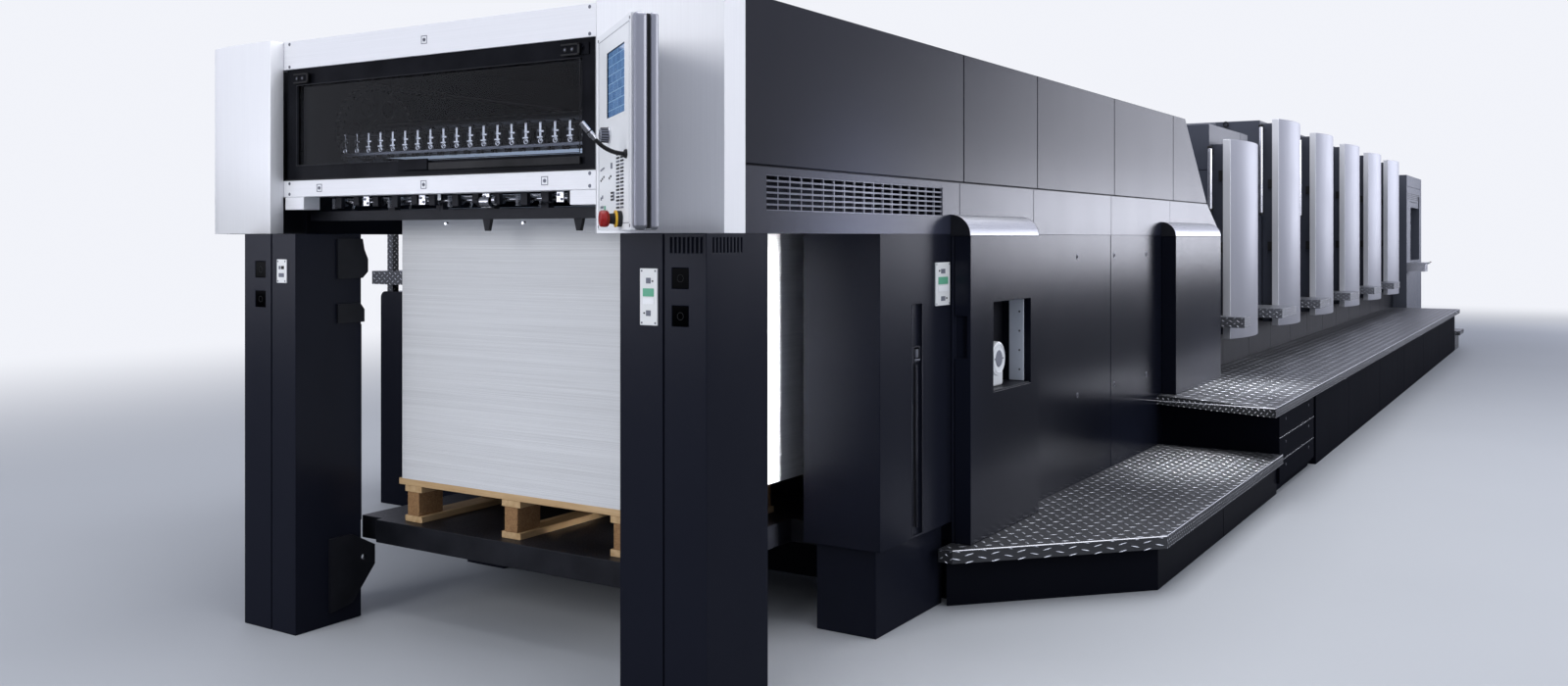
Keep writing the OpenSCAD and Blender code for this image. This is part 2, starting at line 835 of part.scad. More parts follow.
module pile_board() {
    rim = 40;
    skin = 12;
    stand() color(black) {
        difference() {
            translate([0, 0, board_z]) linear_extrude(board_t)
                polygon([[board_x, board_y], [board_end, board_y], [board_end, board_far_y],
                         [rear_post_x - 20, board_far_y], [rear_post_x - 20, far_post_y + board_wing],
                         [wing_x, far_post_y + board_wing], [wing_x, board_far_y],
                         [board_x, board_far_y]]);
            // Pockets between the ribs on the underside
            for (i = [0 : 2])
                for (j = [0 : 2]) {
                    px = (board_end - board_x - rim) / 3;
                    py = (board_far_y - board_y - rim) / 3;
                    block([board_x + rim + i * px, board_x + (i + 1) * px],
                          [board_y + rim + j * py, board_y + (j + 1) * py],
                          [board_z - 1, board_z + board_t - skin]);
                }
        }
        block([shoe_x, shoe_x + shoe_l], [post_w + shoe_gap, board_y + 5],
              [board_z, board_z + board_t]);
        block([shoe_x, shoe_x + shoe_l], [board_far_y - 5, far_post_y - shoe_gap],
              [board_z, board_z + board_t]);
    }
}

module pallet() {
    board_count = 7;
    top_w = 84;
    top_gap = (sheet_l - board_count * top_w) / (board_count - 1);
    block_l = 100;
    stand() color([0.72, 0.58, 0.40]) {
        for (k = [0 : board_count - 1]) {
            x = pile_x + k * (top_w + top_gap);
            block([x, x + top_w], [pallet_y, pallet_y + pallet_w], [pile_z - pallet_board_t, pile_z]);
        }
        for (j = [0 : 2]) {
            y = pallet_y + 28 + j * (pallet_w - 56 - bottom_board_w) / 2;
            block_y = y + (bottom_board_w - block_w) / 2;
            block([pile_x, pile_x + sheet_l], [y, y + bottom_board_w],
                  [pile_z - 2 * pallet_board_t, pile_z - pallet_board_t]);
            block([pile_x, pile_x + sheet_l], [y, y + bottom_board_w],
                  [pallet_z, pallet_z + pallet_board_t]);
            for (i = [0 : 2]) {
                x = pile_x + i * (sheet_l - block_l) / 2;
                block([x, x + block_l], [block_y, block_y + block_w],
                      [pallet_z + pallet_board_t, pile_z - 2 * pallet_board_t]);
            }
        }
    }
}

module paper_pile() {
    stand() color([0.93, 0.93, 0.95])
        block([pile_x, pile_x + sheet_l], [pile_y, pile_y + sheet_w], [pile_z, pile_z + pile_h]);
}

/* Body and skins of the head and hood */

// Side outline of the hood from a start onwards, up to a height
module hood_side_outline(x0, top) {
    polygon([[x0, post_h], [x0, top], [hood_top_end, top], [hood_knee_x, row_seam_z],
             [hood_foot_end, post_h]]);
}

module head_side_near() {
    stand() color(dark) {
        difference() {
            block([side_x, bay_end], [skin_t, house_near_y], [post_h, head_top - roof_t]);
            block([grille_x, grille_x + grille_l], [skin_t - 1, duct_d],
                  [grille_z, grille_z + grille_h]);
        }
        // Air duct that comes up behind the grille and bends away
        intersection() {
            block([grille_x, grille_x + 160], [skin_t, duct_d], [grille_z, grille_z + grille_h]);
            translate([grille_x, 90, grille_z - 10]) rotate([90, 0, 0])
                rotate_extrude(angle = 90, $fn = 96) translate([62, 0]) circle(r = 34, $fn = 48);
        }
    }
}

module head_side_far() {
    stand() color(dark)
        block([side_x, bay_end], [house_far_y, head_w - skin_t], [post_h, head_top - roof_t]);
}

module hood_body() {
    stand() color(dark) across(skin_t, head_w - skin_t) hood_side_outline(bay_end, head_top - roof_t);
}

module hood_roof() {
    stand() color(dark) {
        block([side_x, hood_top_end], [skin_t, head_w - skin_t], [head_top - roof_t, head_top]);
        block([beam_x + beam_d, side_x], [corner_strip, head_w - corner_strip],
              [head_top - roof_t, head_top]);
    }
}

// One row of panels between two heights, cut at the seams
module panel_row(seams, z0, z1) {
    for (k = [0 : len(seams) - 2]) {
        x0 = seams[k] + (k == 0 ? 0 : seam);
        intersection() {
            hood_side_outline(side_x, head_top);
            translate([x0, z0]) square([seams[k + 1] - x0, z1 - z0]);
        }
    }
}

module hood_upper_panels() {
    stand() color([0.16, 0.17, 0.21])
        for (y = [0, head_w - skin_t])
            across(y, y + skin_t) panel_row(upper_seams, row_seam_z + seam / 2, head_top);
}

module hood_lower_panels() {
    stand() color([0.13, 0.14, 0.18]) {
        difference() {
            across(0, skin_t) panel_row(lower_seams, post_h, row_seam_z - seam / 2);
            block([grille_x, grille_x + grille_l], [-1, skin_t + 1], [grille_z, grille_z + grille_h]);
        }
        across(head_w - skin_t, head_w) panel_row(lower_seams, post_h, row_seam_z - seam / 2);
    }
}

module air_grille() {
    cell_l = grille_l / grille_cols;
    cell_h = grille_h / grille_rows;
    half = grille_bar / 2;
    stand() color([0.3, 0.3, 0.33]) difference() {
        block([grille_x, grille_x + grille_l], [2, skin_t], [grille_z, grille_z + grille_h]);
        for (i = [0 : grille_cols - 1])
            for (j = [0 : grille_rows - 1])
                block([grille_x + i * cell_l + half, grille_x + (i + 1) * cell_l - half],
                      [1, skin_t + 1],
                      [grille_z + j * cell_h + half, grille_z + (j + 1) * cell_h - half]);
    }
}

/* Side cabinets and panels below the hood */

module front_cabinet() {
    stand() color(dark) difference() {
        union() {
            block([cab_front_x, cab_front_end], [-cabinet_out, 0], [step_z, cabinet_top]);
            block([rear_post_end + 2, cab_front_end], [0, niche_d + 40], [step_z, post_h]);
        }
        block([niche_x, niche_x + niche_l], [-cabinet_out - 1, niche_d],
              [niche_z, niche_z + niche_h]);
        // Finger recess in the end that faces the pile
        block([cab_front_x - 1, cab_front_x + 12], [-cabinet_out + 14, -12], [812, 950]);
        // Joint between the door and the cabinet
        block([cab_front_x - 1, cab_front_x + 4], [-12, -12 + seam], [step_z - 1, cabinet_top + 1]);
    }
}

module rear_cabinet() {
    stand() color(dark)
        block([cab_rear_x, cab_rear_end], [-cabinet_out, 0], [gallery_z, cabinet_top]);
}

module cabinet_cap(x0, x1) {
    intersection() {
        translate([x0, 0, cabinet_top]) rotate([0, 90, 0])
            cylinder(r = cabinet_out, h = x1 - x0, $fn = 64);
        block([x0, x1], [-cabinet_out, 0], [cabinet_top, cabinet_top + cabinet_out]);
    }
}

module cabinet_caps() {
    stand() color(silver) {
        cabinet_cap(cab_front_x, cab_front_end);
        cabinet_cap(cab_rear_x, cab_rear_end);
    }
}

// Round bottle lying across the niche on its foot
module bottle() {
    x = niche_x + 122;
    z = niche_z + 102;
    front_y = 30 - cabinet_out;
    stand() color([0.9, 0.9, 0.92]) {
        cross_bar(x, z, bottle_r, front_y + 6, front_y + 110);
        cross_bar(x, z, bottle_r - 8, front_y, front_y + 7);
        block([x - 34, x + 34], [front_y + 20, front_y + 96], [niche_z, z]);
    }
}

module side_panel_row(x0, y) {
    ends = concat([x0], side_seams, [hood_foot_end]);
    for (k = [0 : len(ends) - 2])
        block([ends[k] + (k == 0 ? 0 : seam), ends[k + 1]], [y, y + side_t], [0, post_h]);
}

module side_panels() {
    stand() color(dark) {
        side_panel_row(cab_front_end, 0);
        side_panel_row(bay_end, far_side_y);
    }
}

/* Steps and gallery on the operator side */

module lower_step() {
    stand() color(plate_grey)
        translate([0, 0, step_z - deck_t]) linear_extrude(deck_t)
            polygon([[step_x, 0], [step_x, -50], [step_corner_x, -step_out],
                     [step_end, -step_out], [step_end, 0]]);
}

module lower_step_plinth() {
    stand() color(black) difference() {
        linear_extrude(step_z - deck_t)
            polygon([[step_x + 60, 0], [step_corner_x + plinth_inset, step_plinth_y],
                     [drawer_x, step_plinth_y], [drawer_x, 0]]);
        groove(2820, step_plinth_y, [-1, step_z]);
    }
}

module gallery_plate() {
    stand() color(plate_grey)
        translate([0, 0, gallery_z - deck_t]) linear_extrude(deck_t)
            polygon([[gallery_inner_x, 0], [gallery_x, -gallery_out], [gallery_end, -gallery_out],
                     [gallery_end, unit_side], [hood_foot_end, unit_side], [hood_foot_end, 0]]);
}

module gallery_plinth() {
    far = gallery_end - plinth_inset;
    stand() color(dark) difference() {
        linear_extrude(gallery_z - deck_t)
            polygon([[drawer_end, 0], [drawer_end, plinth_y + 40], [slot_end, plinth_y + 40],
                     [slot_end, plinth_y], [far, plinth_y], [far, unit_side],
                     [hood_foot_end, unit_side], [hood_foot_end, 0]]);
        for (n = [0 : unit_count - 1])
            if (unit_left(n) + 713 < far - 100)
                groove(unit_left(n) + 713, plinth_y, [-1, gallery_z]);
    }
}

// Three drawer fronts, the lower two with a bright rail along the top edge
module drawer_fronts() {
    top = gallery_z - deck_t;
    stand() color(dark) difference() {
        union() {
            block([drawer_x, drawer_end], [plinth_y + 14, 0], [0, top]);
            for (k = [0 : 2])
                block([drawer_x, drawer_end], [plinth_y, plinth_y + 14],
                      [top - 21 - (k + 1) * drawer_h - k * 2, top - 21 - k * (drawer_h + 2)]);
        }
        block([drawer_x - 1, drawer_end + 1], [plinth_y - 1, plinth_y + 30], [-1, 30]);
    }
}

module feeder_step() {
    plinth_h = step_z - deck_t;
    stand() color(plate_grey) {
        block([gallery_end, feeder_step_end], [-gallery_out, -feeder_out], [plinth_h, step_z]);
        block([gallery_end, feeder_step_end - plinth_inset], [plinth_y, -feeder_out - 2], [0, plinth_h]);
        block([gallery_end, feeder_x], [-feeder_out - 2, unit_side], [0, plinth_h]);
    }
}

/* Printing units */

module machine_bed() {
    stand() color(dark) difference() {
        union() {
            block([bay_end, hood_foot_end], [side_t, far_side_y], [0, post_h]);
            block([hood_foot_end, feeder_x], [unit_side, far_side_y], [0, bed_top]);
        }
        block([bay_end - 1, cab_front_end], [0, niche_d + 40], [step_z, post_h + 1]);
        for (n = [0 : unit_count - 1])
            for (side = [-330, 330])
                if (unit_left(n) + side > hood_foot_end)
                    for (y = [unit_side, far_side_y])
                        groove(unit_left(n) + side, y, [gallery_z - 1, bed_top + 1]);
    }
}

// One unit's tower: two side frames, the body set back between them, and the hood
// over the bay in front, with its round upper edge
module unit_tower(n) {
    x0 = unit_left(n);
    top = unit_top(n);
    edge = 40;
    y0 = unit_side + tower_frame_w;
    y1 = units_far_y - tower_frame_w;
    stand() color(black) difference() {
        union() {
            block([x0, x0 + tower_l], [unit_side, y0], [bed_top, top - 6]);
            block([x0, x0 + tower_l], [y1, units_far_y], [bed_top, top - 6]);
            block([x0 + tower_bay_d, x0 + tower_l - 30], [y0, y1], [bed_top, top]);
            block([x0 + edge, x0 + tower_l - 30], [unit_side + 12, units_far_y - 12], [top - edge, top]);
            block([x0, x0 + tower_l - 30], [y0, y1], [tower_hood_z, top - edge]);
            translate([0, 0, top - edge]) rotate([-90, 0, 0]) translate([x0 + edge, 0, unit_side + 12])
                cylinder(r = edge, h = units_far_y - unit_side - 24, $fn = 64);
        }
        // Joint round the hood, above the bay
        block([x0 - 1, x0 + vent_depth], [unit_side + 12, units_far_y - 12],
              [tower_hood_z - seam, tower_hood_z]);
        for (y = [unit_side, units_far_y])
            block([x0 + tower_l - 200, x0 + tower_l - 200 + seam],
                  [y - vent_depth, y + vent_depth], [bed_top - 1, top + 1]);
        for (k = [1 : 3])
            block([x0 + tower_l - 31 - vent_depth, x0 + tower_l], [y0, y1],
                  [bed_top + k * 320, bed_top + k * 320 + seam]);
    }
}

module unit_1() { unit_tower(0); }
module unit_2() { unit_tower(1); }
module unit_3() { unit_tower(2); }
module unit_4() { unit_tower(3); }
module unit_5() { unit_tower(4); }
module unit_6() { unit_tower(5); }

// Plan of a unit cover: flat left face, bowed front, flat back on the tower
module cover_plan() {
    r = (cover_l * cover_l / 4 + cover_bulge * cover_bulge) / (2 * cover_bulge);
    translate([0, cover_y]) square([cover_l, unit_side - cover_y]);
    intersection() {
        translate([cover_l / 2, cover_y - cover_bulge + r]) circle(r = r, $fn = 180);
        translate([0, cover_y - cover_bulge - 1]) square([cover_l, cover_bulge + 2]);
    }
}

module unit_covers() {
    stand() color(silver)
        for (n = [0 : unit_count - 1])
            translate([unit_left(n), 0, cover_z])
                linear_extrude((n == 0 ? first_cover_top : tower_top) - cover_z) cover_plan();
}

// Treads: an outer step beside each unit, and the floor between two towers
module unit_treads() {
    z = [tread_z - tread_t, tread_z];
    stand() color(plate_grey)
        for (n = [0 : unit_count - 1]) {
            x1 = unit_left(n);
            block([max(hood_foot_end, x1 - tread_l), x1], [unit_side - tread_out, unit_side], z);
            block([n == 0 ? hood_foot_end : x1 - unit_pitch + tower_l, x1], [unit_side, units_far_y], z);
        }
}

// Bowed grab handle on the left face of a cover: straight bar, upper stand-off and
// the lower end bent back to the cover
module grab_handle(z0, z1) {
    translate([-handle_off, 0, z0 + handle_off])
        cylinder(r = handle_r, h = z1 - z0 - handle_off - 20, $fn = 32);
    translate([-handle_off, 0, z1 - 20]) sphere(r = handle_r, $fn = 32);
    translate([-handle_off, 0, z1 - 40]) rotate([0, 90, 0]) cylinder(r = 8, h = handle_off, $fn = 24);
    translate([0, 0, z0 + handle_off]) rotate([-90, 0, 0]) rotate([0, 0, 90])
        rotate_extrude(angle = 90, $fn = 64) translate([handle_off, 0]) circle(r = handle_r, $fn = 32);
}

module unit_handles() {
    stand() color([0.8, 0.8, 0.84])
        for (n = [0 : unit_count - 1])
            translate([unit_left(n), unit_side - handle_r - 2, 0])
                grab_handle(handle_z, (n == 0 ? first_cover_top : tower_top) - 30);
}

/* Feeder */

module feeder_frame() {
    near_y = [-feeder_out, inner_near_y];
    far_y = [inner_far_y, feeder_far_y];
    stand() color(silver) difference() {
        union() {
            block([feeder_x, machine_end], near_y, [0, feeder_top]);
            block([feeder_x, machine_end], far_y, [0, feeder_top]);
            block([feeder_x, feeder_x + feeder_wall], [inner_near_y, inner_far_y], [0, feeder_top]);
            block([feeder_x, machine_end], [inner_near_y, inner_far_y], [bay_top + 60, feeder_top]);
            block([feeder_x + feeder_wall, feeder_bay_x], [inner_near_y, inner_far_y], [0, 900]);
        }
        for (y = [near_y, far_y])
            block([feeder_bay_x, feeder_bay_x + bay_l], [y[0] - 1, y[1] + 1], [bay_z, bay_top]);
        // Dark slot over the opening, the strip beside it and the joints of the side
        block([feeder_bay_x - 80, feeder_bay_x + 750], [-feeder_out - 1, -feeder_out + 12],
              [bay_top + 16, bay_top + 66]);
        block([feeder_bay_x + 690, feeder_bay_x + bay_l], [-feeder_out - 1, -feeder_out + 12],
              [bay_top - 1, bay_top + 142]);
        block([feeder_x + 1021, feeder_x + 1021 + seam], [-feeder_out - 1, -feeder_out + 6],
              [-1, desk_z - 110]);
        block([feeder_x - 1, machine_end + 1], [-feeder_out - 1, -feeder_out + 4],
              [feeder_top - 130, feeder_top - 130 + seam]);
    }
}

// Slanted feed board from the feeder's front down to the last unit
module feed_board() {
    x0 = unit_left(unit_count - 1) + tower_l;
    stand() color([0.7, 0.71, 0.75])
        across(head_mid_y - 560, head_mid_y + 560) difference() {
            polygon([[x0, bed_top], [x0, 900], [feeder_x, 1010], [feeder_x, bed_top]]);
            polygon([[x0 + 60, bed_top - 1], [x0 + 60, 860], [feeder_x - 60, 955],
                     [feeder_x - 60, bed_top - 1]]);
        }
}

module feeder_desk() {
    stand() color([0.8, 0.8, 0.83]) {
        block([feeder_x + 12, feeder_x + 322], [-feeder_out - desk_out, -feeder_out],
              [desk_z - 22, desk_z]);
        block([feeder_x + 22, feeder_x + 312], [-feeder_out - desk_out + 12, -feeder_out],
              [desk_z - 100, desk_z - 22]);
        translate([feeder_x + 40, -feeder_out - desk_out, desk_z - 6]) rotate([90, 0, 0])
            cylinder(r = 6, h = 40, $fn = 24);
    }
}

// Suction head over the feeder's pile: a beam hung from the top, and a row of sucker feet
module feeder_head() {
    z = feeder_pile_z + feeder_pile_h + 110;
    x = feeder_pile_x + 90;
    stand() color([0.6, 0.61, 0.64]) {
        block([x - 40, x + 40], [head_mid_y - 500, head_mid_y + 500], [z + 60, z + 110]);
        for (y = [-320, 280])
            block([x - 20, x + 20], [head_mid_y + y, head_mid_y + y + 40], [z + 60, bay_top + 60]);
        block([x - 60, x + 180], [head_mid_y - 160, head_mid_y + 160], [z - 20, z + 60]);
        for (y = [-300, -100, 100, 300])
            translate([x, head_mid_y + y, z - 90]) {
                cylinder(r = 9, h = 170, $fn = 32);
                cylinder(r = 20, h = 14, $fn = 32);
            }
    }
}

module feeder_board() {
    stand() color(black)
        block([feeder_pile_x - 50, feeder_pile_x + sheet_l + 10],
              [inner_near_y + shoe_gap, inner_far_y - shoe_gap],
              [feeder_board_z, feeder_board_z + feeder_board_t]);
}

module feeder_pile() {
    stand() color([0.93, 0.93, 0.95])
        block([feeder_pile_x, feeder_pile_x + sheet_l], [feeder_pile_y, feeder_pile_y + sheet_w],
              [feeder_pile_z, feeder_pile_z + feeder_pile_h]);
}

/* Drive side */

module drive_cabinets() {
    edge = 30;
    x1 = drive_cab_x + drive_cab_count * unit_pitch;
    stand() color(dark) difference() {
        union() {
            block([drive_cab_x, x1], [drive_cab_inner, drive_cab_y], [0, drive_cab_h - edge]);
            block([drive_cab_x, x1], [drive_cab_inner, drive_cab_y - edge],
                  [drive_cab_h - edge, drive_cab_h]);
            translate([drive_cab_x, drive_cab_y - edge, drive_cab_h - edge]) rotate([0, 90, 0])
                cylinder(r = edge, h = x1 - drive_cab_x, $fn = 64);
        }
        for (k = [1 : drive_cab_count - 1])
            groove(drive_cab_x + k * unit_pitch, drive_cab_y, [-1, drive_cab_h + 1]);
        for (k = [0 : drive_cab_count - 1])
            groove(drive_cab_x + (k + 0.5) * unit_pitch, drive_cab_y, [60, drive_cab_h - 60]);
    }
}

// Tread over the drive side cabinets, carried by the side and by a square post
module drive_ledge() {
    post_side = 35;
    post_x = drive_cab_x + 12;
    post_y = drive_cab_y - 30 - post_side;
    rail_top = ledge_z + 504;
    ledge_l = 220;
    stand() color([0.5, 0.5, 0.54]) {
        block([drive_cab_x - 16, drive_cab_x - 16 + ledge_l], [head_w, ledge_y],
              [ledge_z - tread_t, ledge_z]);
        block([post_x, post_x + post_side], [post_y, post_y + post_side], [drive_cab_h, rail_top]);
        block([post_x, post_x + post_side], [head_w, post_y], [rail_top - post_side, rail_top]);
    }
}

delivery_post_near();
delivery_post_far();
rear_post_near();
rear_post_far();
chain_guard();
button_panels();
head_beams();
corner_cover_near();
corner_cover_far();
window_frame();
window_glass();
gripper_bar();
chain_wheels();
sheet_guide();
sheet_stop_rail();
console_hinge();
console_case();
console_controls();
pile_board();
pallet();
paper_pile();
head_side_near();
head_side_far();
hood_body();
hood_roof();
hood_upper_panels();
hood_lower_panels();
air_grille();
front_cabinet();
rear_cabinet();
cabinet_caps();
bottle();
side_panels();
lower_step();
lower_step_plinth();
gallery_plate();
gallery_plinth();
drawer_fronts();
feeder_step();
machine_bed();
unit_1();
unit_2();
unit_3();
unit_4();
unit_5();
unit_6();
unit_covers();
unit_treads();
unit_handles();
feeder_frame();
feed_board();
feeder_desk();
feeder_head();
feeder_board();
feeder_pile();
drive_cabinets();
drive_ledge();
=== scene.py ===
# %% [markdown]
# An offset printing press prints sheets of paper one after another. The sheets start in the
# feeder, run through six printing units in a row, and drop onto a pile under the delivery
# head. The measured parts come from a CAD model, in metres. This lesson gives them their
# finishes and adds the small pieces that a camera sees: screws, keys, knobs, trims, boards.

# %% Load the measured parts
import math
import bmesh
import bpy
from mathutils import Matrix, Vector


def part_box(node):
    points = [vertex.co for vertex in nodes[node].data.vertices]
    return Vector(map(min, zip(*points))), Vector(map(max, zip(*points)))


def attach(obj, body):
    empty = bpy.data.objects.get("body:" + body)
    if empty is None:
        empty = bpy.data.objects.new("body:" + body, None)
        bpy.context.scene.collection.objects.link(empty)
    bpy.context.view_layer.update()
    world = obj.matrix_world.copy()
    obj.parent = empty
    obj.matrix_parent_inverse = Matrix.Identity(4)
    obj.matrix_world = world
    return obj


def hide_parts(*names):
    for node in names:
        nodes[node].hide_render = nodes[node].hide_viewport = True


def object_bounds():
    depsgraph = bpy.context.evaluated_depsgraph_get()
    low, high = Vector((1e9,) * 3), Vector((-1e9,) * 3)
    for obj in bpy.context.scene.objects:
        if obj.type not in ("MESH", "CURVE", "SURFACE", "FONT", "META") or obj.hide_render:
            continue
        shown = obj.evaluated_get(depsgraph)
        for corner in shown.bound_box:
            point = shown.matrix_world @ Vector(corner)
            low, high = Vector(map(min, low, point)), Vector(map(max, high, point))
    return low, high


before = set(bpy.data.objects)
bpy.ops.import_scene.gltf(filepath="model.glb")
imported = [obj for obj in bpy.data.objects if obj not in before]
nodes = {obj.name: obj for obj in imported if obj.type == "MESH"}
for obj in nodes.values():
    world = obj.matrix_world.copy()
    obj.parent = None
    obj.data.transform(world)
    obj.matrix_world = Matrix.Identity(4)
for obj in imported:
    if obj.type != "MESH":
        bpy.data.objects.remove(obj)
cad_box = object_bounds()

scene = bpy.context.scene
print("measured parts:", len(nodes))

# %% [markdown]
# All places below are given in millimetres from the outer corner of the near delivery post,
# as a fitter would measure them: x along the machine, y across it from the operator side,
# z up from the floor. One helper turns such a place into the metres of the scene.

# %% Measure from the corner of the near post
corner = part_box("delivery_post_near")[0]
corner.z = 0.0


def place(x, y, z):
    return corner + Vector((x, y, z)) / 1000.0


print("corner of the near post:", tuple(round(c, 3) for c in corner))

# %% [markdown]
# The camera stands where the photographer stood: at 1.21 m above the floor, in front of the
# near corner of the delivery. Its tilt is level, so that upright edges stay upright, and the
# lens is shifted down instead of turned down, as on a view camera.

# %% Set up the camera
camera_data = bpy.data.cameras.new("studio_camera")
camera_data.sensor_width = 36.0
camera_data.lens = 29.33
camera_data.shift_y = -0.0675
camera_data.clip_end = 200.0
camera = bpy.data.objects.new("studio_camera", camera_data)
scene.collection.objects.link(camera)
look = Vector((0.845, 0.5348, 0.0)).normalized()
camera.location = place(-2482, -1790, 1210)
camera.rotation_euler = look.to_track_quat("-Z", "Y").to_euler()
scene.camera = camera
print("camera at", tuple(round(c, 3) for c in camera.location))

# %% [markdown]
# The studio is a pale floor under an even pale sky. The sky has three tones: one that lights
# the press, one that glossy faces mirror, and one that the camera sees, directly or through
# the window. Light Path tells these rays apart, so a pale backdrop doesn't bleach the press.

# %% Sky of the pale studio
scene.view_settings.view_transform = "Standard"
world = bpy.data.worlds.new("pale_studio")
scene.world = world
world.use_nodes = True
sky = world.node_tree
sky.nodes.clear()
sky_out = sky.nodes.new("ShaderNodeOutputWorld")
sky_light = sky.nodes.new("ShaderNodeBackground")
sky_seen = sky.nodes.new("ShaderNodeBackground")
sky_mix = sky.nodes.new("ShaderNodeMixShader")
sky_path = sky.nodes.new("ShaderNodeLightPath")
sky_any = sky.nodes.new("ShaderNodeMath")
sky_any.operation = "MAXIMUM"
sky_gloss = sky.nodes.new("ShaderNodeBackground")
sky_pick = sky.nodes.new("ShaderNodeMixShader")
sky_light.inputs["Color"].default_value = (0.72, 0.78, 0.90, 1.0)
sky_light.inputs["Strength"].default_value = 0.48
sky_gloss.inputs["Color"].default_value = (0.80, 0.82, 0.98, 1.0)
sky_gloss.inputs["Strength"].default_value = 0.95
sky_seen.inputs["Color"].default_value = (0.885, 0.90, 0.955, 1.0)
sky_seen.inputs["Strength"].default_value = 1.0
sky.links.new(sky_path.outputs["Is Glossy Ray"], sky_pick.inputs[0])
sky.links.new(sky_light.outputs[0], sky_pick.inputs[1])
sky.links.new(sky_gloss.outputs[0], sky_pick.inputs[2])
sky.links.new(sky_path.outputs["Is Camera Ray"], sky_any.inputs[0])
sky.links.new(sky_path.outputs["Is Transmission Ray"], sky_any.inputs[1])
sky.links.new(sky_any.outputs[0], sky_mix.inputs[0])
sky.links.new(sky_pick.outputs[0], sky_mix.inputs[1])
sky.links.new(sky_seen.outputs[0], sky_mix.inputs[2])
sky.links.new(sky_mix.outputs[0], sky_out.inputs["Surface"])
print("sky nodes:", len(sky.nodes))

# %% [markdown]
# Soft boxes stand above the machine, before it and on the operator side. One long box stands
# beyond the feeder: the satin panels turn away from the camera, so they mirror that far end,
# and the sheen grows along them as in the photo. The camera and the window pane don't see the
# boxes themselves.

# %% Soft boxes
def soft_box(name, at, aim, width, height, watts, tint=(1.0, 1.0, 1.0)):
    lamp = bpy.data.lights.new(name, "AREA")
    lamp.shape = "RECTANGLE"
    lamp.size, lamp.size_y = width, height
    lamp.energy = watts
    lamp.color = tint
    box = bpy.data.objects.new(name, lamp)
    box.location = at
    box.rotation_euler = (Vector(aim) - Vector(at)).to_track_quat("-Z", "Y").to_euler()
    box.visible_camera = False
    box.visible_transmission = False
    scene.collection.objects.link(box)
    return box


soft_box("overhead_box", (-4.0, -1.0, 5.2), (-4.0, 0.0, 0.0), 9.0, 4.0, 270)
soft_box("front_box", (-13.6, 1.0, 3.2), (-8.0, 0.2, 1.2), 4.5, 3.0, 240)
soft_box("side_box", (-3.5, -8.5, 3.4), (-3.0, 0.0, 0.8), 9.0, 3.2, 205)
soft_box("far_box", (11.0, -5.8, 2.6), (0.0, -1.2, 1.2), 5.0, 3.6, 110, (0.88, 0.90, 1.0))

# %% [markdown]
# Two long low strips light nothing and are only mirrored, which is how a photographer draws a
# line on dark metal. One makes the bright band across the panels at head height, the other
# does the same on the front faces of the posts. Small lamps do the reverse: they light one
# dark place and nothing mirrors them. They reach the bay behind the window, the step, the
# gallery, the guide plate and the side of the pile.

# %% Strips and small lamps
STRIP_TINT = (0.86, 0.88, 1.0)
bay_box = soft_box("head_bay_box", place(185, 1040, 1712), place(285, 1040, 1500), 0.05, 1.05, 0.32)
panel_strip = soft_box("panel_sheen_box", (8.5, -5.8, 1.40), (8.5, 0.0, 1.40), 11.0, 1.3, 190, STRIP_TINT)
step_box = soft_box("step_box", place(3300, -390, 1150), place(3300, -330, 200), 0.7, 0.25, 9)
gallery_box = soft_box("gallery_box", place(4330, -390, 1390), place(4330, -330, 440), 0.7, 0.25, 9)
plate_box = soft_box("guide_plate_box", place(700, 1040, 1390), place(700, 1040.1, 1474), 0.7, 1.2, 1.8)
post_strip = soft_box("post_sheen_box", (-12.64, 5.6, 1.12), (0.0, 5.6, 1.12), 7.0, 0.75, 75, STRIP_TINT)
gap_box = soft_box("side_gap_box", place(500, -1300, 1050), place(900, 376, 820), 0.5, 0.9, 12)
for lamp, beam in ((step_box, 48), (gallery_box, 48), (gap_box, 42)):
    lamp.data.spread = math.radians(beam)
for strip in (panel_strip, post_strip):
    strip.visible_diffuse = False
for lamp in (scene.objects["front_box"], bay_box, step_box, gallery_box, plate_box, gap_box):
    lamp.visible_glossy = False

# %% [markdown]
# The floor is one large square at floor level.

# %% Studio floor
floor_mesh = bpy.data.meshes.new("studio_floor")
floor_shape = bmesh.new()
bmesh.ops.create_grid(floor_shape, x_segments=1, y_segments=1, size=60.0)
floor_shape.to_mesh(floor_mesh)
floor_shape.free()
floor = bpy.data.objects.new("studio_floor", floor_mesh)
scene.collection.objects.link(floor)
print("floor half size:", max(v.co.x for v in floor_mesh.vertices), "m")

# %% [markdown]
# Shader helpers come next. Real coats are never one flat value: powder coat has a fine orange
# skin, brushed metal has long streaks, and dust dulls broad areas. Each such effect is one
# node group with named inputs, so that several finishes can share it at their own scale.

# %% Helper: start a node group
def start_group(name, inputs, outputs):
    group = bpy.data.node_groups.new(name, "ShaderNodeTree")
    for label, kind, value in inputs:
        socket = group.interface.new_socket(label, in_out="INPUT", socket_type=kind)
        if value is not None:
            socket.default_value = value
    for label, kind in outputs:
        group.interface.new_socket(label, in_out="OUTPUT", socket_type=kind)
    source = group.nodes.new("NodeGroupInput")
    sink = group.nodes.new("NodeGroupOutput")
    return group, source, sink


print("node group helper ready")

# %% [markdown]
# Nodes for sums, vectors, noise and ranges come up again and again. One short helper for each
# takes plain numbers or other nodes' outputs, so that a pattern reads like a formula.

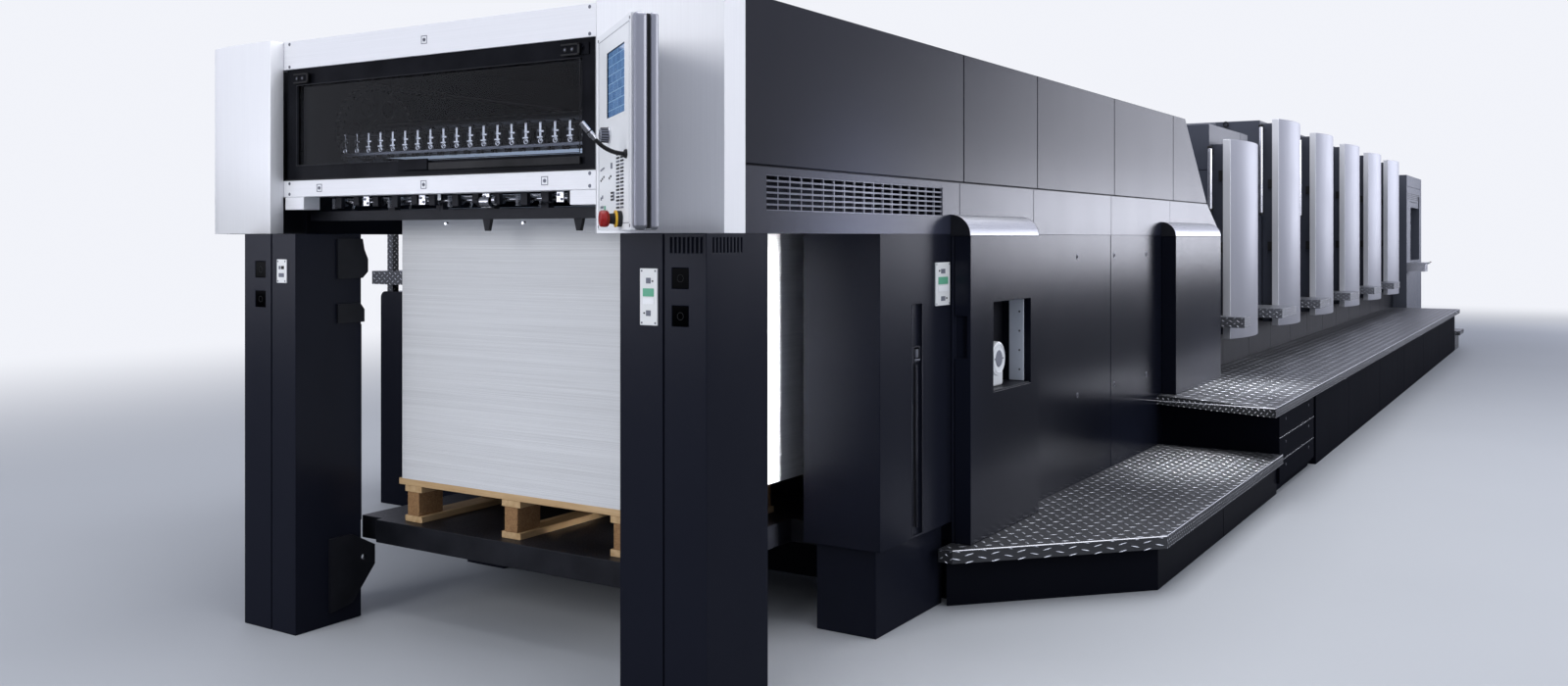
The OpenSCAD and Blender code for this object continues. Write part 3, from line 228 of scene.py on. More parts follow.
# %% Helpers: sums, vectors, noise and ranges
def math_node(tree, operation, a, b=None, clamp=False):
    node = tree.nodes.new("ShaderNodeMath")
    node.operation = operation
    node.use_clamp = clamp
    for slot_index, value in enumerate((a, b)):
        if value is None:
            continue
        if isinstance(value, (int, float)):
            node.inputs[slot_index].default_value = value
        else:
            tree.links.new(value, node.inputs[slot_index])
    return node.outputs[0]


def vector_node(tree, operation, a, b=None):
    node = tree.nodes.new("ShaderNodeVectorMath")
    node.operation = operation
    for slot_index, value in enumerate((a, b)):
        if value is None:
            continue
        if isinstance(value, tuple):
            node.inputs[slot_index].default_value = value
        else:
            tree.links.new(value, node.inputs[slot_index])
    return node.outputs["Value" if operation == "DOT_PRODUCT" else "Vector"]


def noise_node(tree, vector, scale, detail=3.0, roughness=0.55):
    node = tree.nodes.new("ShaderNodeTexNoise")
    tree.links.new(vector, node.inputs["Vector"])
    if isinstance(scale, (int, float)):
        node.inputs["Scale"].default_value = scale
    else:
        tree.links.new(scale, node.inputs["Scale"])
    node.inputs["Detail"].default_value = detail
    node.inputs["Roughness"].default_value = roughness
    return node.outputs[0]


def remap(tree, value, low, high, to_low, to_high):
    node = tree.nodes.new("ShaderNodeMapRange")
    tree.links.new(value, node.inputs["Value"])
    for label, number in (("From Min", low), ("From Max", high), ("To Min", to_low), ("To Max", to_high)):
        node.inputs[label].default_value = number
    return node.outputs[0]


print("pattern helpers ready")

# %% [markdown]
# The coat group gives powder coat and enamel: a fine skin for the bump, and a slow mottle
# that dust and cleaning cloths leave, used for both tone and roughness.

# %% Group: coat skin
coat_group, coat_in, coat_out = start_group(
    "coat_skin",
    [("Vector", "NodeSocketVector", None), ("Skin Scale", "NodeSocketFloat", 900.0),
     ("Mottle Scale", "NodeSocketFloat", 2.5)],
    [("Skin", "NodeSocketFloat"), ("Mottle", "NodeSocketFloat"), ("Wipe", "NodeSocketFloat")])
coat_skin = noise_node(coat_group, coat_in.outputs["Vector"], coat_in.outputs["Skin Scale"], 2.0)
coat_mottle = noise_node(coat_group, coat_in.outputs["Vector"], coat_in.outputs["Mottle Scale"], 4.0)
coat_streak = coat_group.nodes.new("ShaderNodeMapping")
coat_streak.inputs["Scale"].default_value = (3.0, 3.0, 0.6)
coat_group.links.new(coat_in.outputs["Vector"], coat_streak.inputs["Vector"])
coat_wipe = noise_node(coat_group, coat_streak.outputs[0], 3.0, 5.0, 0.62)
coat_group.links.new(coat_skin, coat_out.inputs["Skin"])
coat_group.links.new(remap(coat_group, coat_mottle, 0.3, 0.7, 0.0, 1.0), coat_out.inputs["Mottle"])
coat_group.links.new(remap(coat_group, coat_wipe, 0.35, 0.65, 0.0, 1.0), coat_out.inputs["Wipe"])
print("group", coat_group.name, "nodes", len(coat_group.nodes))

# %% [markdown]
# Brushed metal is noise drawn out along the brushing direction. The stretch is a vector input,
# so the covers can be brushed upright and the beams along their length.

# %% Group: brushed streaks
brush_group, brush_in, brush_out = start_group(
    "brushed_streaks",
    [("Vector", "NodeSocketVector", None), ("Stretch", "NodeSocketVector", (300.0, 300.0, 3.0))],
    [("Streak", "NodeSocketFloat"), ("Cloud", "NodeSocketFloat")])
brush_fine = vector_node(brush_group, "MULTIPLY", brush_in.outputs["Vector"], brush_in.outputs["Stretch"])
brush_streak = noise_node(brush_group, brush_fine, 1.0, 4.0, 0.6)
brush_cloud = noise_node(brush_group, brush_in.outputs["Vector"], 1.6, 3.0)
brush_group.links.new(remap(brush_group, brush_streak, 0.28, 0.72, 0.0, 1.0), brush_out.inputs["Streak"])
brush_group.links.new(remap(brush_group, brush_cloud, 0.3, 0.7, 0.0, 1.0), brush_out.inputs["Cloud"])
print("group", brush_group.name, "nodes", len(brush_group.nodes))

# %% [markdown]
# Tread plate is pressed in one pattern, but its level faces and its turned-down lips need
# other coordinates. Level faces take it from x and y. The lips take it from the run along the
# edge and the height, so that the tears don't smear into stripes there.

# %% Group: tread tears, coordinates
tread_group, tread_in, tread_out = start_group(
    "tread_tears",
    [("Vector", "NodeSocketVector", None), ("Facing", "NodeSocketVector", None),
     ("Pitch", "NodeSocketFloat", 0.03), ("Lip Scale", "NodeSocketFloat", 1.6)],
    [("Height", "NodeSocketFloat"), ("Top", "NodeSocketFloat")])
tread_axes = tread_group.nodes.new("ShaderNodeSeparateXYZ")
tread_group.links.new(tread_in.outputs["Vector"], tread_axes.inputs[0])
tread_split = tread_group.nodes.new("ShaderNodeSeparateXYZ")
tread_group.links.new(tread_in.outputs["Facing"], tread_split.inputs[0])
tread_run = math_node(tread_group, "ADD", tread_axes.outputs["X"],
                      math_node(tread_group, "MULTIPLY", tread_axes.outputs["Y"], 0.7))
tread_lip = tread_group.nodes.new("ShaderNodeCombineXYZ")
for run, axis in ((tread_run, "X"), (tread_axes.outputs["Z"], "Y")):
    scaled = math_node(tread_group, "MULTIPLY", run, tread_in.outputs["Lip Scale"])
    tread_group.links.new(scaled, tread_lip.inputs[axis])
tread_level = math_node(tread_group, "GREATER_THAN",
                        math_node(tread_group, "ABSOLUTE", tread_split.outputs["Z"]), 0.5)
tread_pick = tread_group.nodes.new("ShaderNodeMix")
tread_pick.data_type = "VECTOR"
tread_group.links.new(tread_level, tread_pick.inputs[0])
tread_group.links.new(tread_lip.outputs[0], tread_pick.inputs[4])
tread_group.links.new(tread_in.outputs["Vector"], tread_pick.inputs[5])
print("tread coordinates: nodes", len(tread_group.nodes))

# %% [markdown]
# The raised tears stand in rows, each turned 45 degrees, and every second row turned the
# other way. A tear is a lens: in the cell's own coordinates its long and short directions are
# two dot products, and the length of that pair gives the distance from the tear's middle.

# %% Group: tread tears, pattern
tread_cells = tread_group.nodes.new("ShaderNodeVectorMath")
tread_cells.operation = "SCALE"
tread_group.links.new(tread_pick.outputs[1], tread_cells.inputs[0])
tread_group.links.new(math_node(tread_group, "DIVIDE", 1.0, tread_in.outputs["Pitch"]), tread_cells.inputs["Scale"])
tear_fields = []
for shift, turn in (((0.0, 0.0, 0.0), 1.0), ((0.5, 0.5, 0.0), -1.0)):
    moved = vector_node(tread_group, "ADD", tread_cells.outputs[0], shift)
    local = vector_node(tread_group, "SUBTRACT", vector_node(tread_group, "FRACTION", moved), (0.5, 0.5, 0.0))
    along = vector_node(tread_group, "DOT_PRODUCT", local, (2.6, 2.6 * turn, 0.0))
    across = vector_node(tread_group, "DOT_PRODUCT", local, (-7.6 * turn, 7.6, 0.0))
    far = math_node(tread_group, "ADD", math_node(tread_group, "MULTIPLY", along, along),
                    math_node(tread_group, "MULTIPLY", across, across))
    tear_fields.append(math_node(tread_group, "SUBTRACT", 1.0, far, clamp=True))
tear_height = math_node(tread_group, "MAXIMUM", tear_fields[0], tear_fields[1])
tread_group.links.new(math_node(tread_group, "POWER", tear_height, 0.6), tread_out.inputs["Height"])
tread_group.links.new(remap(tread_group, tear_height, 0.25, 0.75, 0.0, 1.0), tread_out.inputs["Top"])
print("group", tread_group.name, "nodes", len(tread_group.nodes))

# %% [markdown]
# A finish starts with the same few nodes: a Principled shader, Object coordinates, and an
# optional bump. The builder below returns a small bag, so that each finish can add its own
# colour and roughness. Values that are equal all over are set on the shader's own sockets.

# %% Helper: start a finish
class Finish:
    def __init__(self, name, colour, rough, metal=0.0, spec=0.5):
        self.mat = bpy.data.materials.new(name)
        self.mat.use_nodes = True
        self.tree = self.mat.node_tree
        self.shader = next(n for n in self.tree.nodes if n.type == "BSDF_PRINCIPLED")
        self.set("Base Color", (*colour, 1.0))
        self.set("Roughness", rough)
        self.set("Metallic", metal)
        self.set("Specular IOR Level", spec)
        self.where = self.tree.nodes.new("ShaderNodeTexCoord").outputs["Object"]

    def set(self, label, value):
        self.shader.inputs[label].default_value = value

    def link(self, value, label):
        self.tree.links.new(value, self.shader.inputs[label])

    def group(self, group, vector=None, **values):
        node = self.tree.nodes.new("ShaderNodeGroup")
        node.node_tree = group
        self.tree.links.new(vector or self.where, node.inputs["Vector"])
        for label, value in values.items():
            socket = node.inputs[label.replace("_", " ")]
            if isinstance(value, bpy.types.NodeSocket):
                self.tree.links.new(value, socket)
            else:
                socket.default_value = value
        return node.outputs

    def stretch(self, scale, offset=(0.0, 0.0, 0.0)):
        node = self.tree.nodes.new("ShaderNodeMapping")
        node.inputs["Location"].default_value = offset
        node.inputs["Scale"].default_value = scale
        self.tree.links.new(self.where, node.inputs["Vector"])
        return node.outputs[0]

    def blend(self, mask, low, high):
        node = self.tree.nodes.new("ShaderNodeMix")
        node.data_type = "RGBA"
        self.tree.links.new(mask, node.inputs[0])
        for socket, value in ((node.inputs[6], low), (node.inputs[7], high)):
            if isinstance(value, tuple):
                socket.default_value = (*value, 1.0)
            else:
                self.tree.links.new(value, socket)
        return node.outputs[2]

    def bump(self, height, distance, strength=1.0):
        node = self.tree.nodes.new("ShaderNodeBump")
        node.inputs["Strength"].default_value = strength
        node.inputs["Distance"].default_value = distance
        self.tree.links.new(height, node.inputs["Height"])
        self.link(node.outputs[0], "Normal")


print("finish builder ready")

# %% [markdown]
# The dark housings carry a satin blue-grey powder coat. It is nearly black, with a fine skin,
# a little slow mottle in its gloss, and faint upright wipe marks. Its specular level is low,
# so the pale studio doesn't turn the panels grey. The band of panels at head height is the
# glossiest, and the drawers and the plinth under the gallery are the dullest. The same coat
# also gets a tone per part: the band at head height is painted lighter, a painted sheen, and
# the lower panels, cabinets, drawers, plinths and the walls inside the head are painted
# darker, a painted shade.

# %% Finish: dark panel coat
def dark_coat(name, tone, lift, rough, spec):
    coat = Finish(name, tone, rough, spec=spec)
    marks = coat.group(coat_group, Skin_Scale=700.0, Mottle_Scale=1.7)
    coat.link(coat.blend(marks["Mottle"], tone, lift), "Base Color")
    coat.link(remap(coat.tree, marks["Wipe"], 0.0, 1.0, rough - 0.005, rough + 0.012), "Roughness")
    coat.bump(marks["Skin"], 0.00018, 0.55)
    return coat.mat


# Tones per part: the band coat is painted lighter as painted sheen; the lower, body and sill coats are painted darker
# as painted shade.
panel_coat = dark_coat("panel_coat", (0.0060, 0.0072, 0.0140), (0.0075, 0.0088, 0.0165), 0.24, 0.13)
lower_coat = dark_coat("lower_panel_coat", (0.0045, 0.0055, 0.0105), (0.0058, 0.0068, 0.0125), 0.20, 0.12)
body_coat = dark_coat("body_coat", (0.0038, 0.0044, 0.0078), (0.0048, 0.0055, 0.0092), 0.34, 0.05)
post_coat = dark_coat("post_coat", (0.0085, 0.0098, 0.0170), (0.0105, 0.0120, 0.0200), 0.26, 0.12)
tower_coat = dark_coat("tower_coat", (0.058, 0.064, 0.088), (0.068, 0.075, 0.100), 0.36, 0.22)
sill_coat = dark_coat("sill_coat", (0.0036, 0.0042, 0.0078), (0.0048, 0.0054, 0.0096), 0.34, 0.006)
band_coat = dark_coat("hood_band_coat", (0.012, 0.014, 0.024), (0.016, 0.018, 0.030), 0.24, 0.30)
print("dark coats ready")

# %% [markdown]
# Black plastic and cast parts are duller: a soft black with more grain and a rougher gloss. The
# window's frame is the smoothest of them.

# %% Finish: black plastic and castings
def grain_black(name, tone, rough, scale, spec=0.22):
    black = Finish(name, tone, rough, spec=spec)
    marks = black.group(coat_group, Skin_Scale=scale, Mottle_Scale=9.0)
    black.link(black.blend(marks["Mottle"], tone, tuple(min(1.0, c * 1.9 + 0.003) for c in tone)), "Base Color")
    black.link(remap(black.tree, marks["Skin"], 0.3, 0.7, rough - 0.06, rough + 0.10), "Roughness")
    black.bump(marks["Skin"], 0.0003, 0.4)
    return black.mat


frame_black = grain_black("frame_black", (0.0035, 0.0038, 0.0055), 0.20, 1400.0, 0.04)
rubber_black = grain_black("rubber_black", (0.014, 0.014, 0.015), 0.62, 450.0)
cast_black = grain_black("cast_black", (0.006, 0.0065, 0.009), 0.42, 260.0)
print("blacks ready")

# %% [markdown]
# The covers are silver with a satin brush. Long streaks change the roughness much more than
# the colour, which is what the eye reads as brushing. The near covers are brushed upright, the
# beams along their length across the machine, and the caps along the machine.

# %% Finish: brushed silver
def silver_coat(name, stretch, tone, rough, metal):
    silver = Finish(name, tone, rough, metal=metal)
    marks = silver.group(brush_group, Stretch=stretch)
    dim = tuple(c * 0.94 for c in tone)
    silver.link(silver.blend(marks["Streak"], dim, tone), "Base Color")
    cloud = remap(silver.tree, marks["Cloud"], 0.0, 1.0, -0.025, 0.035)
    streak = remap(silver.tree, marks["Streak"], 0.0, 1.0, rough - 0.05, rough + 0.10)
    silver.link(math_node(silver.tree, "ADD", streak, cloud, clamp=True), "Roughness")
    silver.bump(marks["Streak"], 0.00012, 0.35)
    return silver.mat


silver_upright = silver_coat("silver_upright_brush", (420.0, 420.0, 2.4), (0.45, 0.46, 0.505), 0.36, 0.80)
# The fold's lighter silver is a painted highlight for the faces that turn to the front.
lit_fold_silver = silver_coat("lit_fold_brush_painted", (420.0, 420.0, 2.4), (0.74, 0.75, 0.79), 0.38, 0.45)
nose_silver = silver_coat("nose_cover_brush", (420.0, 420.0, 3.0), (0.92, 0.925, 0.95), 0.40, 0.24)
silver_across = silver_coat("silver_cross_brush", (420.0, 3.0, 420.0), (0.86, 0.865, 0.895), 0.42, 0.26)
silver_along = silver_coat("silver_long_brush", (2.4, 420.0, 420.0), (0.56, 0.57, 0.61), 0.28, 0.80)
feeder_side_coat = silver_coat("feeder_side_coat", (60.0, 60.0, 30.0), (0.10, 0.11, 0.14), 0.42, 0.35)
print("silver coats ready")

# %% [markdown]
# Machined steel on the grippers and handles is brighter and tighter. The chain wheels are the
# same steel under a film of oil and dust, so they are much darker.

# %% Finish: machined steel
def steel_finish(name, tone, rough, scale):
    steel = Finish(name, tone, rough, metal=1.0)
    marks = steel.group(coat_group, Skin_Scale=scale, Mottle_Scale=22.0)
    steel.link(steel.blend(marks["Mottle"], tuple(c * 0.82 for c in tone), tone), "Base Color")
    steel.link(remap(steel.tree, marks["Skin"], 0.3, 0.7, rough - 0.05, rough + 0.10), "Roughness")
    steel.bump(marks["Skin"], 0.00008, 0.4)
    return steel.mat


bright_steel = steel_finish("bright_steel", (0.72, 0.73, 0.76), 0.20, 1300.0)
dark_steel = steel_finish("dark_steel", (0.20, 0.21, 0.24), 0.36, 900.0)
wheel_steel = steel_finish("wheel_steel", (0.055, 0.058, 0.068), 0.40, 900.0)
chrome_bar = steel_finish("chrome_bar", (0.80, 0.81, 0.84), 0.11, 1700.0)
print("steels ready")

# %% [markdown]
# Tread plate is aluminium with raised tears. Feet polish the tops of the tears and leave grime
# between them, and the strong contrast of tone also holds painted shade between the tears and
# a painted highlight on their tops. The gallery's rows stand widest apart, the lower step's
# closer, and those of the small treads on the units closest.

# %% Finish: tread plate
def tread_finish(name, pitch, grime_and_shade, lip_scale=1.6):
    tone = (0.50, 0.52, 0.57)
    plate = Finish(name, tone, 0.36, metal=0.62)
    facing = plate.tree.nodes.new("ShaderNodeTexCoord").outputs["Normal"]
    tears = plate.group(tread_group, Facing=facing, Pitch=pitch, Lip_Scale=lip_scale)
    marks = plate.group(coat_group, Skin_Scale=500.0, Mottle_Scale=3.2)
    # Dark between the tears is grime and painted shade; the lighter tops are polish and a painted highlight.
    low = plate.blend(marks["Mottle"], tuple(c * grime_and_shade for c in tone), tuple(c * grime_and_shade * 1.6 for c in tone))
    plate.link(plate.blend(tears["Top"], low, tuple(min(1.0, c * 1.6) for c in tone)), "Base Color")
    plate.link(remap(plate.tree, tears["Top"], 0.0, 1.0, 0.42, 0.22), "Roughness")
    plate.bump(tears["Height"], 0.006, 1.0)
    return plate.mat


tread_plate = tread_finish("tread_plate", 0.064, 0.10, 2.6)
gallery_tread = tread_finish("gallery_tread_plate", 0.100, 0.09, 3.4)
fine_tread = tread_finish("fine_tread_plate", 0.046, 0.26)
print("tread plate ready")

# %% [markdown]
# The delivered pile is thousands of sheets. Their edges show as fine level lines in many
# weights, because the sheets don't lie perfectly flush: noise drawn out along x and y and
# packed tight in z gives both the tone and a small bump.

# %% Finish: edges of stacked sheets
def sheet_edges(name, tone):
    paper = Finish(name, tone, 0.72, spec=0.25)
    fine = noise_node(paper.tree, paper.stretch((1.3, 1.3, 620.0)), 1.0, 3.0, 0.7)
    band = noise_node(paper.tree, paper.stretch((0.5, 0.5, 74.0), (3.0, 1.0, 7.0)), 1.0, 4.0, 0.66)
    lines = math_node(paper.tree, "ADD", remap(paper.tree, fine, 0.35, 0.65, 0.0, 0.6),
                      remap(paper.tree, band, 0.35, 0.62, 0.0, 0.4), clamp=True)
    paper.link(paper.blend(lines, tuple(c * 0.80 for c in tone), tone), "Base Color")
    paper.bump(lines, 0.0012, 0.6)
    return paper.mat


paper_edges = sheet_edges("stacked_sheet_edges", (0.80, 0.81, 0.84))
print("paper ready")

# %% [markdown]
# Pallet boards are rough sawn pine. The year rings show as drawn-out waves with darker late
# wood, and fine fibres run along them. Both come from one group, which the boards across and
# the boards along use with their own stretch.

# %% Group: wood grain
wood_group, wood_in, wood_out = start_group(
    "wood_grain", [("Vector", "NodeSocketVector", None)],
    [("Late Wood", "NodeSocketFloat"), ("Fibre", "NodeSocketFloat")])
wood_ring = noise_node(wood_group, wood_in.outputs["Vector"], 1.0, 6.0, 0.62)
wood_fibre = noise_node(wood_group, wood_in.outputs["Vector"], 7.0, 3.0, 0.7)
wood_late = math_node(wood_group, "ADD", remap(wood_group, wood_ring, 0.36, 0.66, 0.0, 0.75),
                      remap(wood_group, wood_fibre, 0.3, 0.7, 0.0, 0.25), clamp=True)
wood_group.links.new(wood_late, wood_out.inputs["Late Wood"])
wood_group.links.new(wood_fibre, wood_out.inputs["Fibre"])
print("group", wood_group.name, "nodes", len(wood_group.nodes))

# %% [markdown]
# The pine gets its colour, roughness and bump from the grain. The blocks between the boards
# are pressed chips, so they use a cell pattern with no direction.

# %% Finish: sawn pine and pressed chips
def pine_finish(name, stretch, light, dark):
    pine = Finish(name, light, 0.66, spec=0.3)
    grain = pine.group(wood_group, vector=pine.stretch(stretch))
    pine.link(pine.blend(grain["Late Wood"], light, dark), "Base Color")
    pine.link(remap(pine.tree, grain["Fibre"], 0.3, 0.7, 0.55, 0.8), "Roughness")
    pine.bump(grain["Late Wood"], 0.0008, 0.7)
    return pine.mat


def chip_finish(name, light, dark):
    chips = Finish(name, light, 0.82, spec=0.2)
    cell = chips.tree.nodes.new("ShaderNodeTexVoronoi")
    cell.inputs["Scale"].default_value = 210.0
    chips.tree.links.new(chips.where, cell.inputs["Vector"])
    flake = noise_node(chips.tree, chips.where, 90.0, 4.0, 0.7)
    mask = math_node(chips.tree, "ADD", remap(chips.tree, cell.outputs["Distance"], 0.0, 0.7, 0.0, 0.5),
                     remap(chips.tree, flake, 0.3, 0.7, 0.0, 0.5), clamp=True)
    chips.link(chips.blend(mask, dark, light), "Base Color")
    chips.bump(mask, 0.0012, 0.8)
    return chips.mat


pine_cross = pine_finish("pine_cross_boards", (46.0, 2.0, 46.0), (0.66, 0.47, 0.27), (0.46, 0.29, 0.14))
pine_long = pine_finish("pine_long_boards", (2.0, 46.0, 46.0), (0.62, 0.44, 0.25), (0.43, 0.27, 0.13))
chip_block = chip_finish("pressed_chip_block", (0.36, 0.21, 0.10), (0.17, 0.09, 0.045))
print("wood ready")

# %% [markdown]
# The window is a clear pane with a slight blue tint. A low index of refraction keeps the pale
# studio out of it, as an anti-glare film does, so that the grippers behind it stay visible.

# %% Finish: window pane
def pane_finish(name, tint):
    pane = Finish(name, tint, 0.0, spec=0.14)
    pane.set("Transmission Weight", 1.0)
    pane.set("IOR", 1.18)
    smear = pane.group(coat_group, Skin_Scale=40.0, Mottle_Scale=5.0)
    pane.link(pane.blend(smear["Mottle"], tint, tuple(min(1.0, c * 1.04) for c in tint)), "Base Color")
    return pane.mat


window_pane = pane_finish("tinted_window_pane", (0.84, 0.87, 0.93))
print("pane ready:", window_pane.name)

# %% [markdown]
# Plates, shells, keys and the bottle are plastics and enamels in plain colours. They share one
# recipe with a faint grain, and a slow mottle that keeps large faces from looking flat.

# %% Finish: plates and plastics
def plastic_finish(name, tone, rough, metal=0.0):
    plastic = Finish(name, tone, rough, metal=metal, spec=0.45)
    marks = plastic.group(coat_group, Skin_Scale=600.0, Mottle_Scale=6.0)
    plastic.link(plastic.blend(marks["Mottle"], tone, tuple(min(1.0, c * 1.06) for c in tone)), "Base Color")
    plastic.link(remap(plastic.tree, marks["Wipe"], 0.0, 1.0, rough - 0.03, rough + 0.06), "Roughness")
    plastic.bump(marks["Skin"], 0.00012, 0.35)
    return plastic.mat


guide_plate = plastic_finish("pale_guide_plate", (0.62, 0.72, 0.86), 0.30, metal=0.2)
console_white = plastic_finish("console_white", (0.86, 0.87, 0.90), 0.34)
console_silver = silver_coat("console_edge_brush", (420.0, 420.0, 2.4), (0.34, 0.35, 0.39), 0.30, 0.80)
key_white = plastic_finish("key_white", (0.78, 0.79, 0.80), 0.42)
key_green = plastic_finish("key_green", (0.12, 0.40, 0.26), 0.40)
key_grey = plastic_finish("key_grey", (0.15, 0.16, 0.20), 0.45)
stop_red = plastic_finish("stop_red", (0.34, 0.014, 0.012), 0.26)
stop_yellow = plastic_finish("stop_yellow", (0.72, 0.42, 0.03), 0.38)
bottle_white = plastic_finish("bottle_white", (0.80, 0.82, 0.85), 0.24)
grille_coat = plastic_finish("grille_coat", (0.085, 0.09, 0.115), 0.36, metal=0.4)
niche_liner = plastic_finish("niche_liner", (0.60, 0.64, 0.72), 0.36)
print("plastics ready")

# %% [markdown]
# The studio floor is painted a middle grey, with a slow mottle so that it isn't one flat tone.

# %% Finish: studio floor
floor_paint = Finish("studio_floor_paint", (0.50, 0.52, 0.56), 0.62, spec=0.3)
floor_marks = floor_paint.group(coat_group, Skin_Scale=120.0, Mottle_Scale=0.5)
floor_paint.link(floor_paint.blend(floor_marks["Mottle"], (0.49, 0.51, 0.55), (0.51, 0.53, 0.57)), "Base Color")
floor_mesh.materials.append(floor_paint.mat)
print("materials so far:", len(bpy.data.materials))

# %% [markdown]
# A studio sweep has no horizon. The floor keeps the press's shadow close by, and further out
# it blends into the pale backdrop. The mask is the distance from the press's own outline on
# the floor, worked out in Object coordinates, and it counts only for what the camera sees.
# What a glossy panel mirrors of the floor is painted nearly black: a painted dark reflection.

# %% Blend the far floor into the backdrop
SWEEP_START, SWEEP_END = 0.8, 9.0
FLOOR_DAMPING = 0.8
sweep = floor_paint.tree
sweep_axes = sweep.nodes.new("ShaderNodeSeparateXYZ")
sweep.links.new(floor_paint.where, sweep_axes.inputs[0])
beyond = []
for axis, half in (("X", cad_box[1][0]), ("Y", cad_box[1][1])):
    outside = math_node(sweep, "SUBTRACT", math_node(sweep, "ABSOLUTE", sweep_axes.outputs[axis]), float(half))
    outside = math_node(sweep, "MAXIMUM", outside, 0.0)
    beyond.append(math_node(sweep, "MULTIPLY", outside, outside))
reach = math_node(sweep, "SQRT", math_node(sweep, "ADD", beyond[0], beyond[1]))
sweep_mask = sweep.nodes.new("ShaderNodeMapRange")
sweep_mask.interpolation_type = "SMOOTHSTEP"
sweep_mask.inputs["From Min"].default_value = SWEEP_START
sweep_mask.inputs["From Max"].default_value = SWEEP_END
sweep.links.new(reach, sweep_mask.inputs["Value"])
sweep_path = sweep.nodes.new("ShaderNodeLightPath")
seen = math_node(sweep, "MAXIMUM", sweep_path.outputs["Is Camera Ray"], sweep_path.outputs["Is Transmission Ray"])
backdrop = sweep.nodes.new("ShaderNodeEmission")
backdrop.inputs["Color"].default_value = sky_seen.inputs["Color"].default_value
sweep_mix = sweep.nodes.new("ShaderNodeMixShader")
sweep.links.new(math_node(sweep, "MULTIPLY", seen, sweep_mask.outputs[0]), sweep_mix.inputs[0])
sweep.links.new(backdrop.outputs[0], sweep_mix.inputs[2])
# Glossy rays see the floor painted nearly black: a painted dark reflection in the panels.
damp = sweep.nodes.new("ShaderNodeBsdfDiffuse")
damp.inputs["Color"].default_value = (0.02, 0.02, 0.025, 1.0)
damp_mix = sweep.nodes.new("ShaderNodeMixShader")
sweep.links.new(math_node(sweep, "MULTIPLY", sweep_path.outputs["Is Glossy Ray"], FLOOR_DAMPING), damp_mix.inputs[0])
sweep.links.new(floor_paint.shader.outputs[0], damp_mix.inputs[1])
sweep.links.new(damp.outputs[0], damp_mix.inputs[2])
sweep.links.new(damp_mix.outputs[0], sweep_mix.inputs[1])
sweep_out = next(n for n in sweep.nodes if n.type == "OUTPUT_MATERIAL")
sweep.links.new(sweep_mix.outputs[0], sweep_out.inputs["Surface"])
print("floor blends out between", SWEEP_START, "and", SWEEP_END, "metres from the press")

# %% [markdown]
# Measured parts keep their shape and get a finish. Each name below is a part of the press. Some
# of them are replaced further down by a copy with more detail in the same finish.

# %% Put the finishes on the measured parts
finish_of = {
    post_coat: "delivery_post_near delivery_post_far rear_post_near rear_post_far",
    cast_black: "chain_guard sheet_stop_rail console_hinge pile_board feeder_board",
    silver_across: "head_beams",
    silver_upright: "unit_covers",
    nose_silver: "corner_cover_near corner_cover_far",
    silver_along: "cabinet_caps feeder_desk",
    frame_black: "window_frame",
    window_pane: "window_glass",
    bright_steel: "feeder_head",
    wheel_steel: "chain_wheels",
    dark_steel: "gripper_bar",
    guide_plate: "sheet_guide feed_board",
    console_white: "console_case button_panels console_controls",
    paper_edges: "paper_pile feeder_pile",
    pine_cross: "pallet",
    panel_coat: "hood_upper_panels hood_roof",
    band_coat: "hood_lower_panels",
    sill_coat: "drawer_fronts gallery_plinth",
    lower_coat: "side_panels front_cabinet rear_cabinet",
    body_coat: "head_side_near head_side_far hood_body machine_bed lower_step_plinth drive_cabinets",
    tower_coat: "unit_1 unit_2 unit_3 unit_4 unit_5 unit_6",
    grille_coat: "air_grille",
    bottle_white: "bottle",
    gallery_tread: "gallery_plate",
    tread_plate: "lower_step feeder_step drive_ledge",
    fine_tread: "unit_treads",
    chrome_bar: "unit_handles",
    feeder_side_coat: "feeder_frame",
}
dressed = set()
for finish, names in finish_of.items():
    for name in names.split():
        nodes[name].data.materials.clear()
        nodes[name].data.materials.append(finish)
        dressed.add(name)
print("parts without a finish:", sorted(set(nodes) - dressed))

# %% [markdown]
# Small pieces are built in a bmesh from create_ shapes. The helpers below add one block, round
# bar or ring at a place in millimetres, ease its edges with a bevel, and give its faces a
# finish by number. A rounded edge catches a line of light, which a sharp CAD edge never does.

# %% Helper: add a block
def stamp(bm, before, finish_index):
    for face in bm.faces:
        if face not in before:
            face.material_index = finish_index


def add_block(bm, low, high, edge=0.0, steps=2, finish=0):
    before = set(bm.faces)
    low, high = place(*low), place(*high)
    made = bmesh.ops.create_cube(bm, size=1.0)["verts"]
    bmesh.ops.scale(bm, vec=high - low, verts=made)
    bmesh.ops.translate(bm, vec=(low + high) / 2, verts=made)
    if edge:
        edges = list({e for v in made for e in v.link_edges})
        bmesh.ops.bevel(bm, geom=edges, offset=edge / 1000.0, offset_type="OFFSET", segments=steps,
                        profile=0.5, affect="EDGES", material=-1, clamp_overlap=True)
    stamp(bm, before, finish)


print("block helper ready")

# %% [markdown]
# A round bar is a cone whose two radii may be equal. It is made upright, its rims are eased
# while they are still level, and then it is turned to point from its start to its end.

